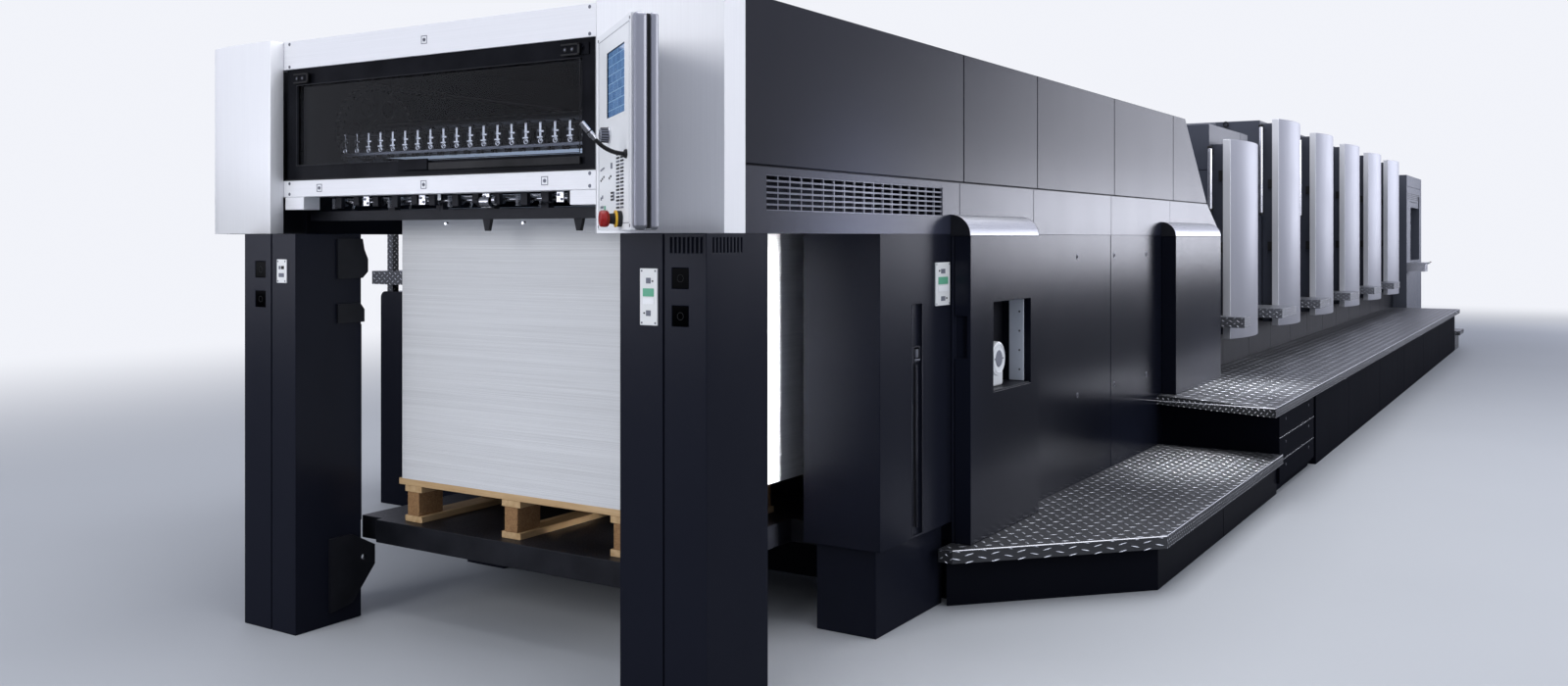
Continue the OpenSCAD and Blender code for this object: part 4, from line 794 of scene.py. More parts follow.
# %% Helper: add a round bar
def add_bar(bm, start, end, radius, tip_radius=None, sides=24, edge=0.0, finish=0):
    before = set(bm.faces)
    start, end = place(*start), place(*end)
    run = end - start
    tip = radius if tip_radius is None else tip_radius
    made = bmesh.ops.create_cone(bm, cap_ends=True, segments=sides, radius1=radius / 1000.0,
                                 radius2=tip / 1000.0, depth=run.length)["verts"]
    if edge:
        rims = [e for e in {e for v in made for e in v.link_edges}
                if len({round(v.co.z, 6) for v in e.verts}) == 1]
        bmesh.ops.bevel(bm, geom=rims, offset=edge / 1000.0, offset_type="OFFSET", segments=2,
                        profile=0.5, affect="EDGES", material=-1, clamp_overlap=True)
        made = list({v for f in bm.faces if f not in before for v in f.verts})
    turn = run.to_track_quat("Z", "Y").to_matrix().to_4x4()
    bmesh.ops.transform(bm, matrix=Matrix.Translation((start + end) / 2) @ turn, verts=made)
    stamp(bm, before, finish)


print("bar helper ready")

# %% [markdown]
# A ring is a small circle that is spun once round an axis. The full turn needs use_merge, so
# that the last loop joins the first.

# %% Helper: add a ring
def add_ring(bm, centre, axis, radius, thick, sides=32, finish=0):
    before = set(bm.faces)
    made = bmesh.ops.create_circle(bm, cap_ends=False, segments=12, radius=thick / 1000.0)["verts"]
    bmesh.ops.rotate(bm, cent=(0, 0, 0), matrix=Matrix.Rotation(math.pi / 2, 3, "X"), verts=made)
    bmesh.ops.translate(bm, vec=(radius / 1000.0, 0, 0), verts=made)
    loop = list({e for v in made for e in v.link_edges})
    bmesh.ops.spin(bm, geom=made + loop, cent=(0, 0, 0), axis=(0, 0, 1), angle=2 * math.pi,
                   steps=sides, use_merge=True)
    ring = list({v for f in bm.faces if f not in before for v in f.verts})
    turn = Vector(axis).to_track_quat("Z", "Y").to_matrix().to_4x4()
    bmesh.ops.transform(bm, matrix=Matrix.Translation(place(*centre)) @ turn, verts=ring)
    stamp(bm, before, finish)


print("ring helper ready")

# %% [markdown]
# The last helper turns a bmesh into a piece. Its normals are made to point outwards, round
# faces are shaded smooth, and the piece rides on a body, so that it moves with the joints. It
# may also stand for a measured part, which is then hidden.

# %% Helper: finish a piece
def finish_piece(bm, name, finishes, body="machine", stands_for=()):
    bmesh.ops.recalc_face_normals(bm, faces=bm.faces)
    mesh = bpy.data.meshes.new(name)
    bm.to_mesh(mesh)
    bm.free()
    for finish in finishes:
        mesh.materials.append(finish)
    mesh.shade_smooth()
    mesh.set_sharp_from_angle(angle=math.radians(32.0))
    piece = bpy.data.objects.new(name, mesh)
    scene.collection.objects.link(piece)
    weights = piece.modifiers.new("face_normals", "WEIGHTED_NORMAL")
    weights.keep_sharp = True
    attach(piece, body)
    if stands_for:
        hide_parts(*stands_for)
    print(name, "faces", len(mesh.polygons))
    return piece


print("piece helper ready")

# %% [markdown]
# The wooden pallet is nailed together: seven boards across, three stringers and three base
# boards along, and nine pressed blocks between them. Every board is its own block with eased
# edges and a slightly different width, as sawn boards are.

# %% Pallet of sawn boards
pallet_low, pallet_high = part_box("pallet")
pallet_low, pallet_high = (pallet_low - corner) * 1000, (pallet_high - corner) * 1000
floor_z, deck_z = pallet_low.z, pallet_high.z
BOARD_W, STRINGER_W, BLOCK_L = 84, 76, 100
pallet = bmesh.new()
board_step = (pallet_high.x - pallet_low.x - BOARD_W) / 6
for k, wane in enumerate((0, 3, -2, 4, -3, 2, 0)):
    start = pallet_low.x + k * board_step + (0 if k == 0 else wane / 2)
    add_block(pallet, (start, pallet_low.y + (k % 3), deck_z - 20),
              (min(start + BOARD_W - abs(wane), pallet_high.x), pallet_high.y - (k * 2 % 3), deck_z), 1.6, 2, 0)
for j in range(3):
    row = pallet_low.y + 28 + j * (pallet_high.y - pallet_low.y - 56 - STRINGER_W) / 2
    for z0, z1 in ((deck_z - 40.0, deck_z - 20.2), (floor_z, floor_z + 20)):
        add_block(pallet, (pallet_low.x, row, z0), (pallet_high.x, row + STRINGER_W, z1), 1.6, 2, 1)
    for i in range(3):
        start = pallet_low.x + i * (pallet_high.x - pallet_low.x - BLOCK_L) / 2
        add_block(pallet, (start, row + 12, floor_z + 20.2), (start + BLOCK_L, row + 64, deck_z - 40.2), 2.0, 2, 2)
        for nail in (18, 58):
            add_bar(pallet, (start + 50, row + nail, deck_z - 0.3), (start + 50, row + nail, deck_z), 4, finish=3)
finish_piece(pallet, "sawn_pallet", [pine_cross, pine_long, chip_block, dark_steel], "pile_lift", ("pallet",))

# %% [markdown]
# The console is a swivelling control box. On the real one a white front plate sits in a rounded
# aluminium edge, with a black joint and a silver shell behind it. It is drawn lying along x
# with its face at y = 0, and turned into place at the end, so every key is easy to measure.

# %% Helper: turn a piece onto the console
CONSOLE_TURN = math.radians(180.0 + 51.2)
console_matrix = (Matrix.Translation(place(-34, 310, 0)) @ Matrix.Rotation(CONSOLE_TURN, 4, "Z")
                  @ Matrix.Translation(-corner))


def finish_console(bm, name, finishes, stands_for=()):
    bmesh.ops.transform(bm, matrix=console_matrix, verts=bm.verts)
    return finish_piece(bm, name, finishes, "console", stands_for)


print("console turned by", round(math.degrees(CONSOLE_TURN), 1), "degrees")

# %% [markdown]
# The front plate has an opening for the screen. A grid of three by three squares is stretched
# to the plate's measures, its middle square is deleted, and the rest is extruded to thickness.

# %% Helper: add a plate with an opening
def add_holed_plate(bm, xs, zs, front, back, finish, walls):
    before = set(bm.faces)
    grid = bmesh.ops.create_grid(bm, x_segments=3, y_segments=3, size=1.5)["verts"]
    for vert in grid:
        vert.co = place(xs[round(vert.co.x + 1.5)], back, zs[round(vert.co.y + 1.5)])
    middle = place((xs[1] + xs[2]) / 2, back, (zs[1] + zs[2]) / 2)
    plate = [f for f in bm.faces if f not in before]
    hole = min(plate, key=lambda f: (f.calc_center_median() - middle).length)
    bmesh.ops.delete(bm, geom=[hole], context="FACES")
    plate = [f for f in bm.faces if f not in before]
    raised = bmesh.ops.extrude_face_region(bm, geom=plate)["geom"]
    bmesh.ops.translate(bm, vec=(0, (front - back) / 1000.0, 0),
                        verts=[g for g in raised if isinstance(g, bmesh.types.BMVert)])
    stamp(bm, before, finish)
    low, high = place(xs[1] - 1, 0, zs[1] - 1), place(xs[2] + 1, 0, zs[2] + 1)
    for face in bm.faces:
        c = face.calc_center_median()
        if face not in before and low.x < c.x < high.x and low.z < c.z < high.z:
            face.material_index = walls


print("plate helper ready")

# %% [markdown]
# The shell goes together from the front to the back: the white plate, its rounded edge, the
# dark joint, the silver back shell, and three blocks round the hinge's pin. Four screws and a
# fine grey line along the plate's border finish it.

# %% Console shell
console_low, console_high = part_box("console_case")
case_z0 = console_low.z * 1000
case_z1 = console_high.z * 1000
screen_z0 = case_z0 + 269
case = bmesh.new()
add_holed_plate(case, (0, 120, 324, 394), (case_z0, screen_z0, screen_z0 + 157, case_z1), 0, 20, 0, 3)
add_block(case, (64, 20, case_z0 + 0.5), (394, 33, case_z1 - 0.5), 0, 1, 0)
add_block(case, (392, 2, case_z0), (419.9, 33, case_z1), 11, 6, 1)
add_block(case, (66, 33, case_z0 + 3), (404, 41, case_z1 - 3), 0, 1, 2)
add_block(case, (64, 40, case_z0), (412, 60, case_z1), 8, 4, 4)
for z0, z1 in ((case_z0, case_z0 + 62), (case_z0 + 118, case_z1 - 118), (case_z1 - 62, case_z1)):
    add_block(case, (36, 20, z0 + 0.5), (64, 59, z1 - 0.5), 4, 3, 4)
for x, z in ((10, case_z0 + 10), (10, case_z1 - 10), (384, case_z0 + 10), (384, case_z1 - 10)):
    add_bar(case, (x, 0.5, z), (x, -1.2, z), 3.6, sides=16, finish=5)
for x0, x1, z0, z1 in ((16, 378, case_z1 - 17, case_z1 - 15.6), (16, 378, case_z0 + 15.6, case_z0 + 17),
                       (16, 17.4, case_z0 + 17, case_z1 - 17), (376.6, 378, case_z0 + 17, case_z1 - 17)):
    add_block(case, (x0, -0.35, z0), (x1, 0.2, z1), 0, 1, 6)
finish_console(case, "console_shell",
               [console_white, console_silver, rubber_black, frame_black, console_silver, dark_steel, key_grey],
               ("console_case",))

# %% [markdown]
# The touch screen shows soft blocks of blue. They come from a brick pattern on Object
# coordinates, and a faint light of its own keeps the screen readable in the studio.

# %% Finish: lit screen
screen = Finish("lit_screen", (0.10, 0.20, 0.42), 0.12, spec=0.5)
screen_tiles = screen.tree.nodes.new("ShaderNodeTexBrick")
screen_tiles.offset = 0.35
screen_tiles.inputs["Color1"].default_value = (0.12, 0.24, 0.46, 1.0)
screen_tiles.inputs["Color2"].default_value = (0.08, 0.18, 0.38, 1.0)
screen_tiles.inputs["Mortar"].default_value = (0.24, 0.40, 0.62, 1.0)
screen_tiles.inputs["Scale"].default_value = 1.0
screen_tiles.inputs["Brick Width"].default_value = 0.052
screen_tiles.inputs["Row Height"].default_value = 0.021
screen_tiles.inputs["Mortar Size"].default_value = 0.0012
screen_axes = screen.tree.nodes.new("ShaderNodeSeparateXYZ")
screen.tree.links.new(screen.where, screen_axes.inputs[0])
screen_flat = screen.tree.nodes.new("ShaderNodeCombineXYZ")
screen.tree.links.new(math_node(screen.tree, "MULTIPLY", screen_axes.outputs["X"], 1.6), screen_flat.inputs["X"])
screen.tree.links.new(screen_axes.outputs["Z"], screen_flat.inputs["Y"])
screen.tree.links.new(screen_flat.outputs[0], screen_tiles.inputs["Vector"])
screen.link(screen_tiles.outputs["Color"], "Base Color")
screen.link(screen_tiles.outputs["Color"], "Emission Color")
screen.set("Emission Strength", 0.40)
screen.set("Coat Weight", 0.6)
lit_screen = screen.mat
print("screen ready")

# %% [markdown]
# The controls stand out of the face. The screen's glass lies behind the plate's opening, the
# turning knob has a bright rim and a ribbed side, and the red stop button sits on a yellow
# ring. Each is a stack of short round bars.

# %% Screen glass, knob and stop button
controls = bmesh.new()
add_block(controls, (121, 3.0, screen_z0 + 1), (323, 4.6, screen_z0 + 156), 0, 1, 0)
knob_z = case_z0 + 227
add_bar(controls, (152, 0.5, knob_z), (152, -5, knob_z), 20, sides=40, edge=1.2, finish=1)
add_bar(controls, (152, -4, knob_z), (152, -23, knob_z), 17.6, 16.2, 40, 1.6, finish=2)
add_bar(controls, (152, -22.6, knob_z), (152, -24, knob_z), 13.0, sides=32, finish=1)
for k in range(16):
    angle = k * math.pi / 8
    add_bar(controls, (152 + 17.2 * math.cos(angle), -6, knob_z + 17.2 * math.sin(angle)),
            (152 + 16.4 * math.cos(angle), -22, knob_z + 16.4 * math.sin(angle)), 1.3, sides=8, finish=3)
stop_z = case_z0 + 26
add_bar(controls, (291, 0.5, stop_z), (291, -11, stop_z), 18.5, sides=36, edge=1.5, finish=3)
add_bar(controls, (291, -11, stop_z), (291, -16, stop_z), 19.6, sides=36, edge=1.2, finish=4)
add_bar(controls, (291, -16, stop_z), (291, -34, stop_z), 13, 11, 32, finish=3)
add_bar(controls, (291, -30, stop_z), (291, -34, stop_z), 16, 19.5, 36, finish=5)
add_bar(controls, (291, -34, stop_z), (291, -50.5, stop_z), 19.8, 18.4, 40, 4.0, finish=5)
print("control faces so far", len(controls.faces))

# %% [markdown]
# Two columns of sixteen flat keys run up the right of the face, and looser groups stand on the
# left. Each row of the list gives a key's place, width and height, and the number of its tone.

# %% Keys
KEY_ROWS, KEY_PITCH = 16, 8.2
for row in range(KEY_ROWS):
    low = case_z0 + 50 + row * KEY_PITCH
    for x in (236, 282):
        add_block(controls, (x, -1.3, low), (x + 34, 0.2, low + 4.6), 0.8, 2, 3 if (row + x) % 3 else 2)
KEY_GROUPS = (
    (118, 146, 10, 4, 2), (133, 148, 10, 4, 2), (148, 150, 10, 4, 2), (236, 146, 4, 14, 2), (246, 146, 4, 14, 2),
    (120, 120, 7, 5, 3), (135, 124, 7, 5, 3), (152, 128, 7, 5, 3), (214, 122, 7, 5, 3), (230, 126, 7, 5, 3),
    (120, 74, 8, 8, 2), (136, 78, 8, 8, 2), (236, 78, 22, 5, 3), (236, 70, 22, 5, 3), (236, 86, 22, 5, 3),
    (262, 70, 8, 21, 2), (118, 40, 12, 10, 2), (134, 40, 12, 10, 2), (118, 54, 12, 6, 2), (134, 54, 12, 6, 2),
    (160, 40, 12, 20, 6))
for x, z, w, h, tone in KEY_GROUPS:
    left = 40 + (x - 118) * 1.1
    add_block(controls, (left, -1.2, case_z0 + z), (left + w * 1.5, 0.2, case_z0 + z + h), 0.7, 2, tone)
print("keys:", 2 * KEY_ROWS + len(KEY_GROUPS))

# %% [markdown]
# A stalk on a bent neck stands out of the face. The neck is a circle that is spun about the
# middle of its bend, with fine rings along it like a flexible tube, and its tip follows the
# direction in which the bend ends.

# %% Stalk on its bent neck
NECK_X, NECK_RADIUS, NECK_RINGS = 348, 86, 20
bend = math.radians(50)
neck_z = case_z0 + 171
add_bar(controls, (NECK_X, 0.4, neck_z), (NECK_X, -6, neck_z), 11, 9, 28, 1.2, finish=3)
neck_start = bmesh.ops.create_circle(controls, cap_ends=False, segments=16, radius=0.0045)["verts"]
bmesh.ops.rotate(controls, cent=(0, 0, 0), matrix=Matrix.Rotation(math.pi / 2, 3, "X"), verts=neck_start)
bmesh.ops.translate(controls, vec=place(NECK_X, -5, neck_z), verts=neck_start)
neck_rim = list({e for v in neck_start for e in v.link_edges})
before_neck = set(controls.faces)
bmesh.ops.spin(controls, geom=neck_start + neck_rim, cent=place(NECK_X, -5, neck_z + NECK_RADIUS),
               axis=(1, 0, 0), angle=-bend, steps=22)
stamp(controls, before_neck, 3)
for k in range(NECK_RINGS):
    a = bend * (k + 0.5) / NECK_RINGS
    c = (NECK_X, -5 - NECK_RADIUS * math.sin(a), neck_z + NECK_RADIUS * (1 - math.cos(a)))
    d = (NECK_X, c[1] - 1.6 * math.cos(a), c[2] + 1.6 * math.sin(a))
    add_bar(controls, c, d, 5.2, sides=16, finish=3)


def on_tip(reach):
    return (NECK_X, -5 - NECK_RADIUS * math.sin(bend) - reach * math.cos(bend),
            neck_z + NECK_RADIUS * (1 - math.cos(bend)) + reach * math.sin(bend))


add_bar(controls, on_tip(0), on_tip(12), 5.0, 7.0, 20, finish=1)
add_bar(controls, on_tip(12), on_tip(48), 7.3, 6.8, 24, 1.2, finish=1)
add_bar(controls, on_tip(20), on_tip(23), 7.6, sides=24, finish=3)
finish_console(controls, "console_keys_and_knob",
               [lit_screen, bright_steel, key_grey, rubber_black, stop_yellow, stop_red, key_green],
               ("console_controls",))

# %% [markdown]
# Sheet metal has no razor edges. A part whose shape is right but whose edges would catch light
# is copied, its loose triangles are merged, flat faces are joined again, and each fold gets a
# small round. The copy then stands for the measured part, at the same place.

# %% Helper: ease the edges of a measured part
def eased_mesh(part, edge, sharp=25.0, steps=2):
    bm = bmesh.new()
    bm.from_mesh(nodes[part].data)
    bmesh.ops.remove_doubles(bm, verts=bm.verts, dist=0.00002)
    bmesh.ops.dissolve_limit(bm, angle_limit=math.radians(0.8), verts=bm.verts, edges=bm.edges)
    folds = [e for e in bm.edges if e.is_manifold and e.calc_face_angle() > math.radians(sharp)]
    bmesh.ops.bevel(bm, geom=folds, offset=edge / 1000.0, offset_type="OFFSET", segments=steps,
                    profile=0.5, affect="EDGES", material=-1, clamp_overlap=True)
    return bm


def ease(part, edge, finish, body="machine", sharp=25.0):
    bm = eased_mesh(part, edge, sharp)
    for face in bm.faces:
        face.material_index = 0
    return finish_piece(bm, part + "_eased", [finish], body, (part,))


print("easing helper ready")

# %% [markdown]
# The four posts, the two beams and the window's frame are the first to be eased. The posts are
# folded sheet of some thickness, so their edges are rounder than those of the frame.

# %% Posts, beams and window frame
for part in ("delivery_post_near", "delivery_post_far", "rear_post_near", "rear_post_far"):
    ease(part, 2.0, post_coat)
ease("head_beams", 1.6, silver_across)
ease("window_frame", 1.2, frame_black)

# %% [markdown]
# The near corner cover is the big pale sheet beside the console. Its inner edge is folded back
# at a slant, which leaves the window free when seen from the operator's corner. The fold is
# made by cutting the copy with a slanted plane and closing the cut again.

# %% Corner covers
near_cover = bmesh.new()
near_cover.from_mesh(nodes["corner_cover_near"].data)
bmesh.ops.remove_doubles(near_cover, verts=near_cover.verts, dist=0.00002)
bmesh.ops.dissolve_limit(near_cover, angle_limit=math.radians(0.2), verts=near_cover.verts, edges=near_cover.edges)
bmesh.ops.bisect_plane(near_cover, geom=near_cover.verts[:] + near_cover.edges[:] + near_cover.faces[:],
                       dist=0.00001, plane_co=place(34, 372, 1500), plane_no=(-0.68, 0.73, 0), clear_outer=True)
bmesh.ops.holes_fill(near_cover, edges=[e for e in near_cover.edges if e.is_boundary], sides=0)
folds = [e for e in near_cover.edges if e.is_manifold and e.calc_face_angle() > math.radians(25)]
bmesh.ops.bevel(near_cover, geom=folds, offset=0.0025, offset_type="OFFSET", segments=3, profile=0.5,
                affect="EDGES", material=-1, clamp_overlap=True)
add_block(near_cover, (84, 366, 1221), (96, 416, 1824), 1.0, 2, 0)
stamp(near_cover, set(), 0)
finish_piece(near_cover, "near_nose_cover", [nose_silver], "machine", ("corner_cover_near",))

# %% [markdown]
# The window hangs on two catches in its upper corners and has a grip at the bottom. The
# catches are dark plates with two studs inside a thick black bracket. A fine line runs round
# the pane, and a rubber strip closes the gap below the frame.

# %% Window catches, grip and edge trim
catches = bmesh.new()
for y0, y1, z0, z1 in ((470, 536, 1692, 1724), (1580, 1650, 1690, 1721)):
    add_block(catches, (79.5, y0, z0), (83.5, y1, z1), 1.2, 2, 1)
    for bar in ((y0, y1, z1 - 5, z1), (y0, y1, z0, z0 + 5), (y0, y0 + 7, z0, z1)):
        add_block(catches, (77.5, bar[0], bar[2]), (81, bar[1], bar[3]), 1.0, 2, 0)
    for stud in (0.38, 0.76):
        y = y0 + (y1 - y0) * stud
        add_bar(catches, (80, y, (z0 + z1) / 2), (77.6, y, (z0 + z1) / 2), 6.5, sides=20, edge=0.6, finish=0)
        add_bar(catches, (78, y, (z0 + z1) / 2), (77.0, y, (z0 + z1) / 2), 3.2, sides=16, finish=2)
add_block(catches, (76, 1046, 1404), (83.4, 1168, 1437), 2.4, 3, 1)
add_block(catches, (79, 470, 1404), (83.4, 1044, 1424), 1.2, 2, 0)
for z0, z1, y0, y1 in ((1433, 1435.2, 471, 1642), (1683.6, 1685.6, 471, 1642)):
    add_block(catches, (82.2, y0, z0), (83.4, y1, z1), 0, 1, 3)
for y in (471, 1640):
    add_block(catches, (82.2, y, 1433), (83.4, y + 2, 1685), 0, 1, 3)
add_block(catches, (80.8, 419, 1387.4), (83.4, 1694, 1390.6), 0.6, 2, 0)
finish_piece(catches, "window_catches", [rubber_black, frame_black, dark_steel, cast_black])

# %% [markdown]
# Four small square plates sit on the silver beams, each a thin border round one screw. More
# screws hold the beams at their ends.

# %% Plates and screws on the beams
beam_marks = bmesh.new()
for y, z in ((1531, 1362), (1067, 1362), (597, 1362), (1065, 1781)):
    for bar in ((y - 12, y + 12, z + 10, z + 12), (y - 12, y + 12, z - 12, z - 10),
                (y - 12, y - 10, z - 12, z + 12), (y + 10, y + 12, z - 12, z + 12)):
        add_block(beam_marks, (82.4, bar[0], bar[2]), (83.4, bar[1], bar[3]), 0, 1, 0)
    add_bar(beam_marks, (83.4, y, z), (81.6, y, z), 5.5, sides=20, edge=0.5, finish=1)
    # The dark bar stands for the screw's slot: painted shade.
    add_block(beam_marks, (81.2, y - 3.6, z - 0.6), (82.0, y + 3.6, z + 0.6), 0, 1, 2)
for y in (438, 1675):
    for z in (1345, 1378, 1745, 1816):
        add_bar(beam_marks, (83.4, y, z), (82.2, y, z), 5, sides=18, edge=0.5, finish=1)
finish_piece(beam_marks, "beam_marks", [key_grey, dark_steel, rubber_black])

# %% [markdown]
# Behind the window runs the gripper bar. Each gripper is a small chrome finger: a plate with a
# hook on top, two side tabs, a ring below, and its screw, on a black block. The hook is half a
# turn of a small circle. The same few calls repeat the figure at the pitch along the bar.

# %% Gripper figures on the bar
GRIPPER_PITCH = 56
grippers = bmesh.new()
bar_low, bar_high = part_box("gripper_bar")
bar_mid = ((bar_low + bar_high) / 2 - corner) * 1000
for k in range(-10, 11):
    y = bar_mid.y + GRIPPER_PITCH * k
    add_block(grippers, (226, y - 15, 1478), (248, y + 15, 1524), 2.0, 2, 1)
    add_block(grippers, (220, y - 4.5, 1484), (226.5, y + 4.5, 1538), 1.4, 2, 0)
    hook = bmesh.ops.create_circle(grippers, cap_ends=False, segments=8, radius=0.0034)["verts"]
    bmesh.ops.rotate(grippers, cent=(0, 0, 0), matrix=Matrix.Rotation(math.pi / 2, 3, "X"), verts=hook)
    bmesh.ops.rotate(grippers, cent=(0, 0, 0), matrix=Matrix.Rotation(math.pi / 2, 3, "Y"), verts=hook)
    bmesh.ops.translate(grippers, vec=place(222, y, 1536), verts=hook)
    before = set(grippers.faces)
    loop = list({e for v in hook for e in v.link_edges})
    bmesh.ops.spin(grippers, geom=hook + loop, cent=place(222, y - 8, 1536), axis=(1, 0, 0),
                   angle=math.radians(205), steps=10)
    stamp(grippers, before, 0)
    add_block(grippers, (217, y - 16, 1508), (222, y + 2, 1514), 1.2, 2, 0)
    add_block(grippers, (217, y - 13, 1492), (222, y + 10, 1497), 1.2, 2, 0)
    add_ring(grippers, (220, y - 2, 1484), (1, 0, 0), 7.0, 2.4, 16, 0)
    add_bar(grippers, (227, y + 10, 1514), (222, y + 10, 1514), 4.2, sides=6, edge=0.4, finish=2)
    add_block(grippers, (230, y - 24, 1458), (240, y - 18, 1484), 1.0, 2, 1)
    add_block(grippers, (230, y + 18, 1458), (240, y + 24, 1484), 1.0, 2, 1)
print("gripper faces", len(grippers.faces))

# %% [markdown]
# Two rods tie the grippers together along the bar. Deeper in the bay another rod carries a row
# of small steel fingers, which show as dots through the dark pane.

# %% Rods along the grippers
add_bar(grippers, (236, bar_mid.y - 600, 1530), (236, bar_mid.y + 600, 1530), 5, sides=16, finish=1)
add_bar(grippers, (246, bar_mid.y - 600, 1466), (246, bar_mid.y + 600, 1466), 7, sides=16, finish=2)
for k in range(26):
    add_block(grippers, (640, 500 + k * 44, 1596), (652, 512 + k * 44, 1618), 1.0, 2, 2)
add_bar(grippers, (650, 440, 1592), (650, 1640, 1592), 6, sides=16, finish=2)
finish_piece(grippers, "gripper_figures", [chrome_bar, rubber_black, dark_steel])

# %% [markdown]
# Under the lower beam hangs the sheet stop with its springs, rods and rollers. It is a busy
# black and steel area, so it gets many small real parts. Springs, screwed plates and slanted
# levers take turns along the rods, and each spring is a stack of rings.

# %% Stop rail mechanism: rods, levers and springs
stops = bmesh.new()
add_bar(stops, (176, 430, 1318), (176, 1560, 1318), 6, sides=18, finish=0)
add_bar(stops, (232, 430, 1290), (232, 1560, 1290), 7, sides=18, finish=1)
add_bar(stops, (214, 430, 1330), (214, 1560, 1330), 4, sides=14, finish=0)
for k, y in enumerate((470, 560, 655, 735, 842, 925, 1008, 1105, 1180, 1266, 1352, 1440, 1522)):
    add_bar(stops, (176, y, 1318), (176, y + 14 + (k % 3) * 6, 1318), 13, sides=24, edge=1.2, finish=0 if k % 2 else 1)
    add_block(stops, (150, y - 10, 1300 + (k % 3) * 4), (164, y + 16, 1335), 1.5, 2, 2)
    if k % 3 == 0:
        for turn in range(9):
            add_ring(stops, (160, y + 34, 1300 + turn * 3.6), (0, 0, 1), 6.5, 1.1, 16, 0)
    if k % 3 == 1:
        add_block(stops, (146, y + 26, 1306), (150, y + 52, 1335), 0.8, 2, 0)
        add_bar(stops, (146, y + 33, 1314), (143.5, y + 33, 1314), 4, sides=6, finish=1)
        add_bar(stops, (146, y + 45, 1326), (143.5, y + 45, 1326), 4, sides=6, finish=1)
    if k % 3 == 2:
        add_bar(stops, (168, y + 40, 1298), (196, y + 56, 1332), 4, sides=12, finish=0)
print("stop rail faces so far", len(stops.faces))

# %% [markdown]
# Three rollers of different widths sit near the middle, with a small lever and two pins below
# them, and two dark blocks with hexagon screws hold the rods.

# %% Stop rail mechanism: rollers and blocks
add_bar(stops, (160, 868, 1312), (160, 906, 1312), 19, sides=32, edge=2.5, finish=0)
add_bar(stops, (160, 912, 1312), (160, 924, 1312), 14, sides=28, edge=1.5, finish=2)
add_bar(stops, (158, 846, 1316), (158, 858, 1316), 15, sides=28, edge=1.5, finish=0)
for y in (760, 1070):
    add_bar(stops, (168, y, 1250), (178, y, 1250), 5, sides=14, edge=0.8, finish=0)
add_block(stops, (140, 1060, 1318), (143.5, 1072, 1338), 1.2, 2, 3)
add_bar(stops, (142, 1066, 1318), (142, 1064, 1286), 1.6, sides=8, finish=2)
for y0, y1 in ((468, 548), (1180, 1300)):
    add_block(stops, (186, y0, 1308), (206, y1, 1328), 2.0, 2, 1)
    for y in (y0 + 12, y1 - 12):
        add_bar(stops, (186, y, 1318), (183, y, 1318), 4.5, sides=6, edge=0.5, finish=0)
finish_piece(stops, "stop_rail_mechanism", [bright_steel, dark_steel, cast_black, key_white])

# %% [markdown]
# The far corner cover shows its rounded outer edge against the light. It is one bent sheet, so
# it is spun: an upright edge turns about the far centre of the big front radius, and then about
# the near centre of the corner. Solidify gives the sheet its thickness.

# %% Far corner cover as a bent sheet
far_cover = bmesh.new()
cover_z0, cover_z1 = 1220.5, 1824.5
low_end = far_cover.verts.new(place(35.6, 1705, cover_z0))
high_end = far_cover.verts.new(place(35.6, 1705, cover_z1))
edge_line = far_cover.edges.new((low_end, high_end))
tip = [low_end, high_end, edge_line]
for centre, sweep_deg, count in (((1554, 1772), 10.54, 20), ((197.4, 1963), 70.0, 16)):
    spun = bmesh.ops.spin(far_cover, geom=tip, cent=place(centre[0], centre[1], 0), axis=(0, 0, 1),
                          angle=math.radians(-sweep_deg), steps=count)
    tip = spun["geom_last"]
back = bmesh.ops.extrude_edge_only(far_cover, edges=[edge_line])["geom"]
bmesh.ops.translate(far_cover, vec=(0.0468, -0.001, 0), verts=[g for g in back if isinstance(g, bmesh.types.BMVert)])
bmesh.ops.remove_doubles(far_cover, verts=far_cover.verts, dist=0.0004)
bmesh.ops.recalc_face_normals(far_cover, faces=far_cover.faces)
xs = [v.co.x for v in far_cover.verts]
ys = [v.co.y for v in far_cover.verts]
print("far cover sheet x", round((min(xs) - corner.x) * 1000), round((max(xs) - corner.x) * 1000),
      "y", round((min(ys) - corner.y) * 1000), round((max(ys) - corner.y) * 1000))
far_piece = finish_piece(far_cover, "far_nose_cover", [nose_silver], "machine", ("corner_cover_far",))
far_wall = far_piece.modifiers.new("sheet_wall", "SOLIDIFY")
far_wall.thickness = 0.004
far_wall.offset = -1.0
far_wall.use_even_offset = True
far_fold = far_piece.modifiers.new("sheet_edges", "BEVEL")
far_fold.width = 0.0012
far_fold.segments = 2

# %% [markdown]
# The posts carry sensor windows with black glass. Each is a block set into a recess of the
# post, with a fine ring on its face. The glass mirrors little, so that it stays a black square.

# %% Sensor windows
gloss_black = Finish("sensor_glass", (0.0006, 0.0007, 0.0010), 0.10, spec=0.01)
gloss_marks = gloss_black.group(coat_group, Skin_Scale=200.0, Mottle_Scale=20.0)
gloss_black.link(remap(gloss_black.tree, gloss_marks["Mottle"], 0.0, 1.0, 0.05, 0.12), "Roughness")
sensors = bmesh.new()
for y0, y1 in ((54, 104), (1680, 1730)):
    for z0, z1 in ((993, 1043), (1085, 1135)):
        add_block(sensors, (1.2, y0 + 0.5, z0 + 0.5), (13.6, y1 - 0.5, z1 - 0.5), 0.8, 2, 0)
        add_ring(sensors, (1.2, (y0 + y1) / 2, (z0 + z1) / 2), (1, 0, 0), 9, 0.5, 32, 1)
finish_piece(sensors, "sensor_windows", [gloss_black.mat, rubber_black])

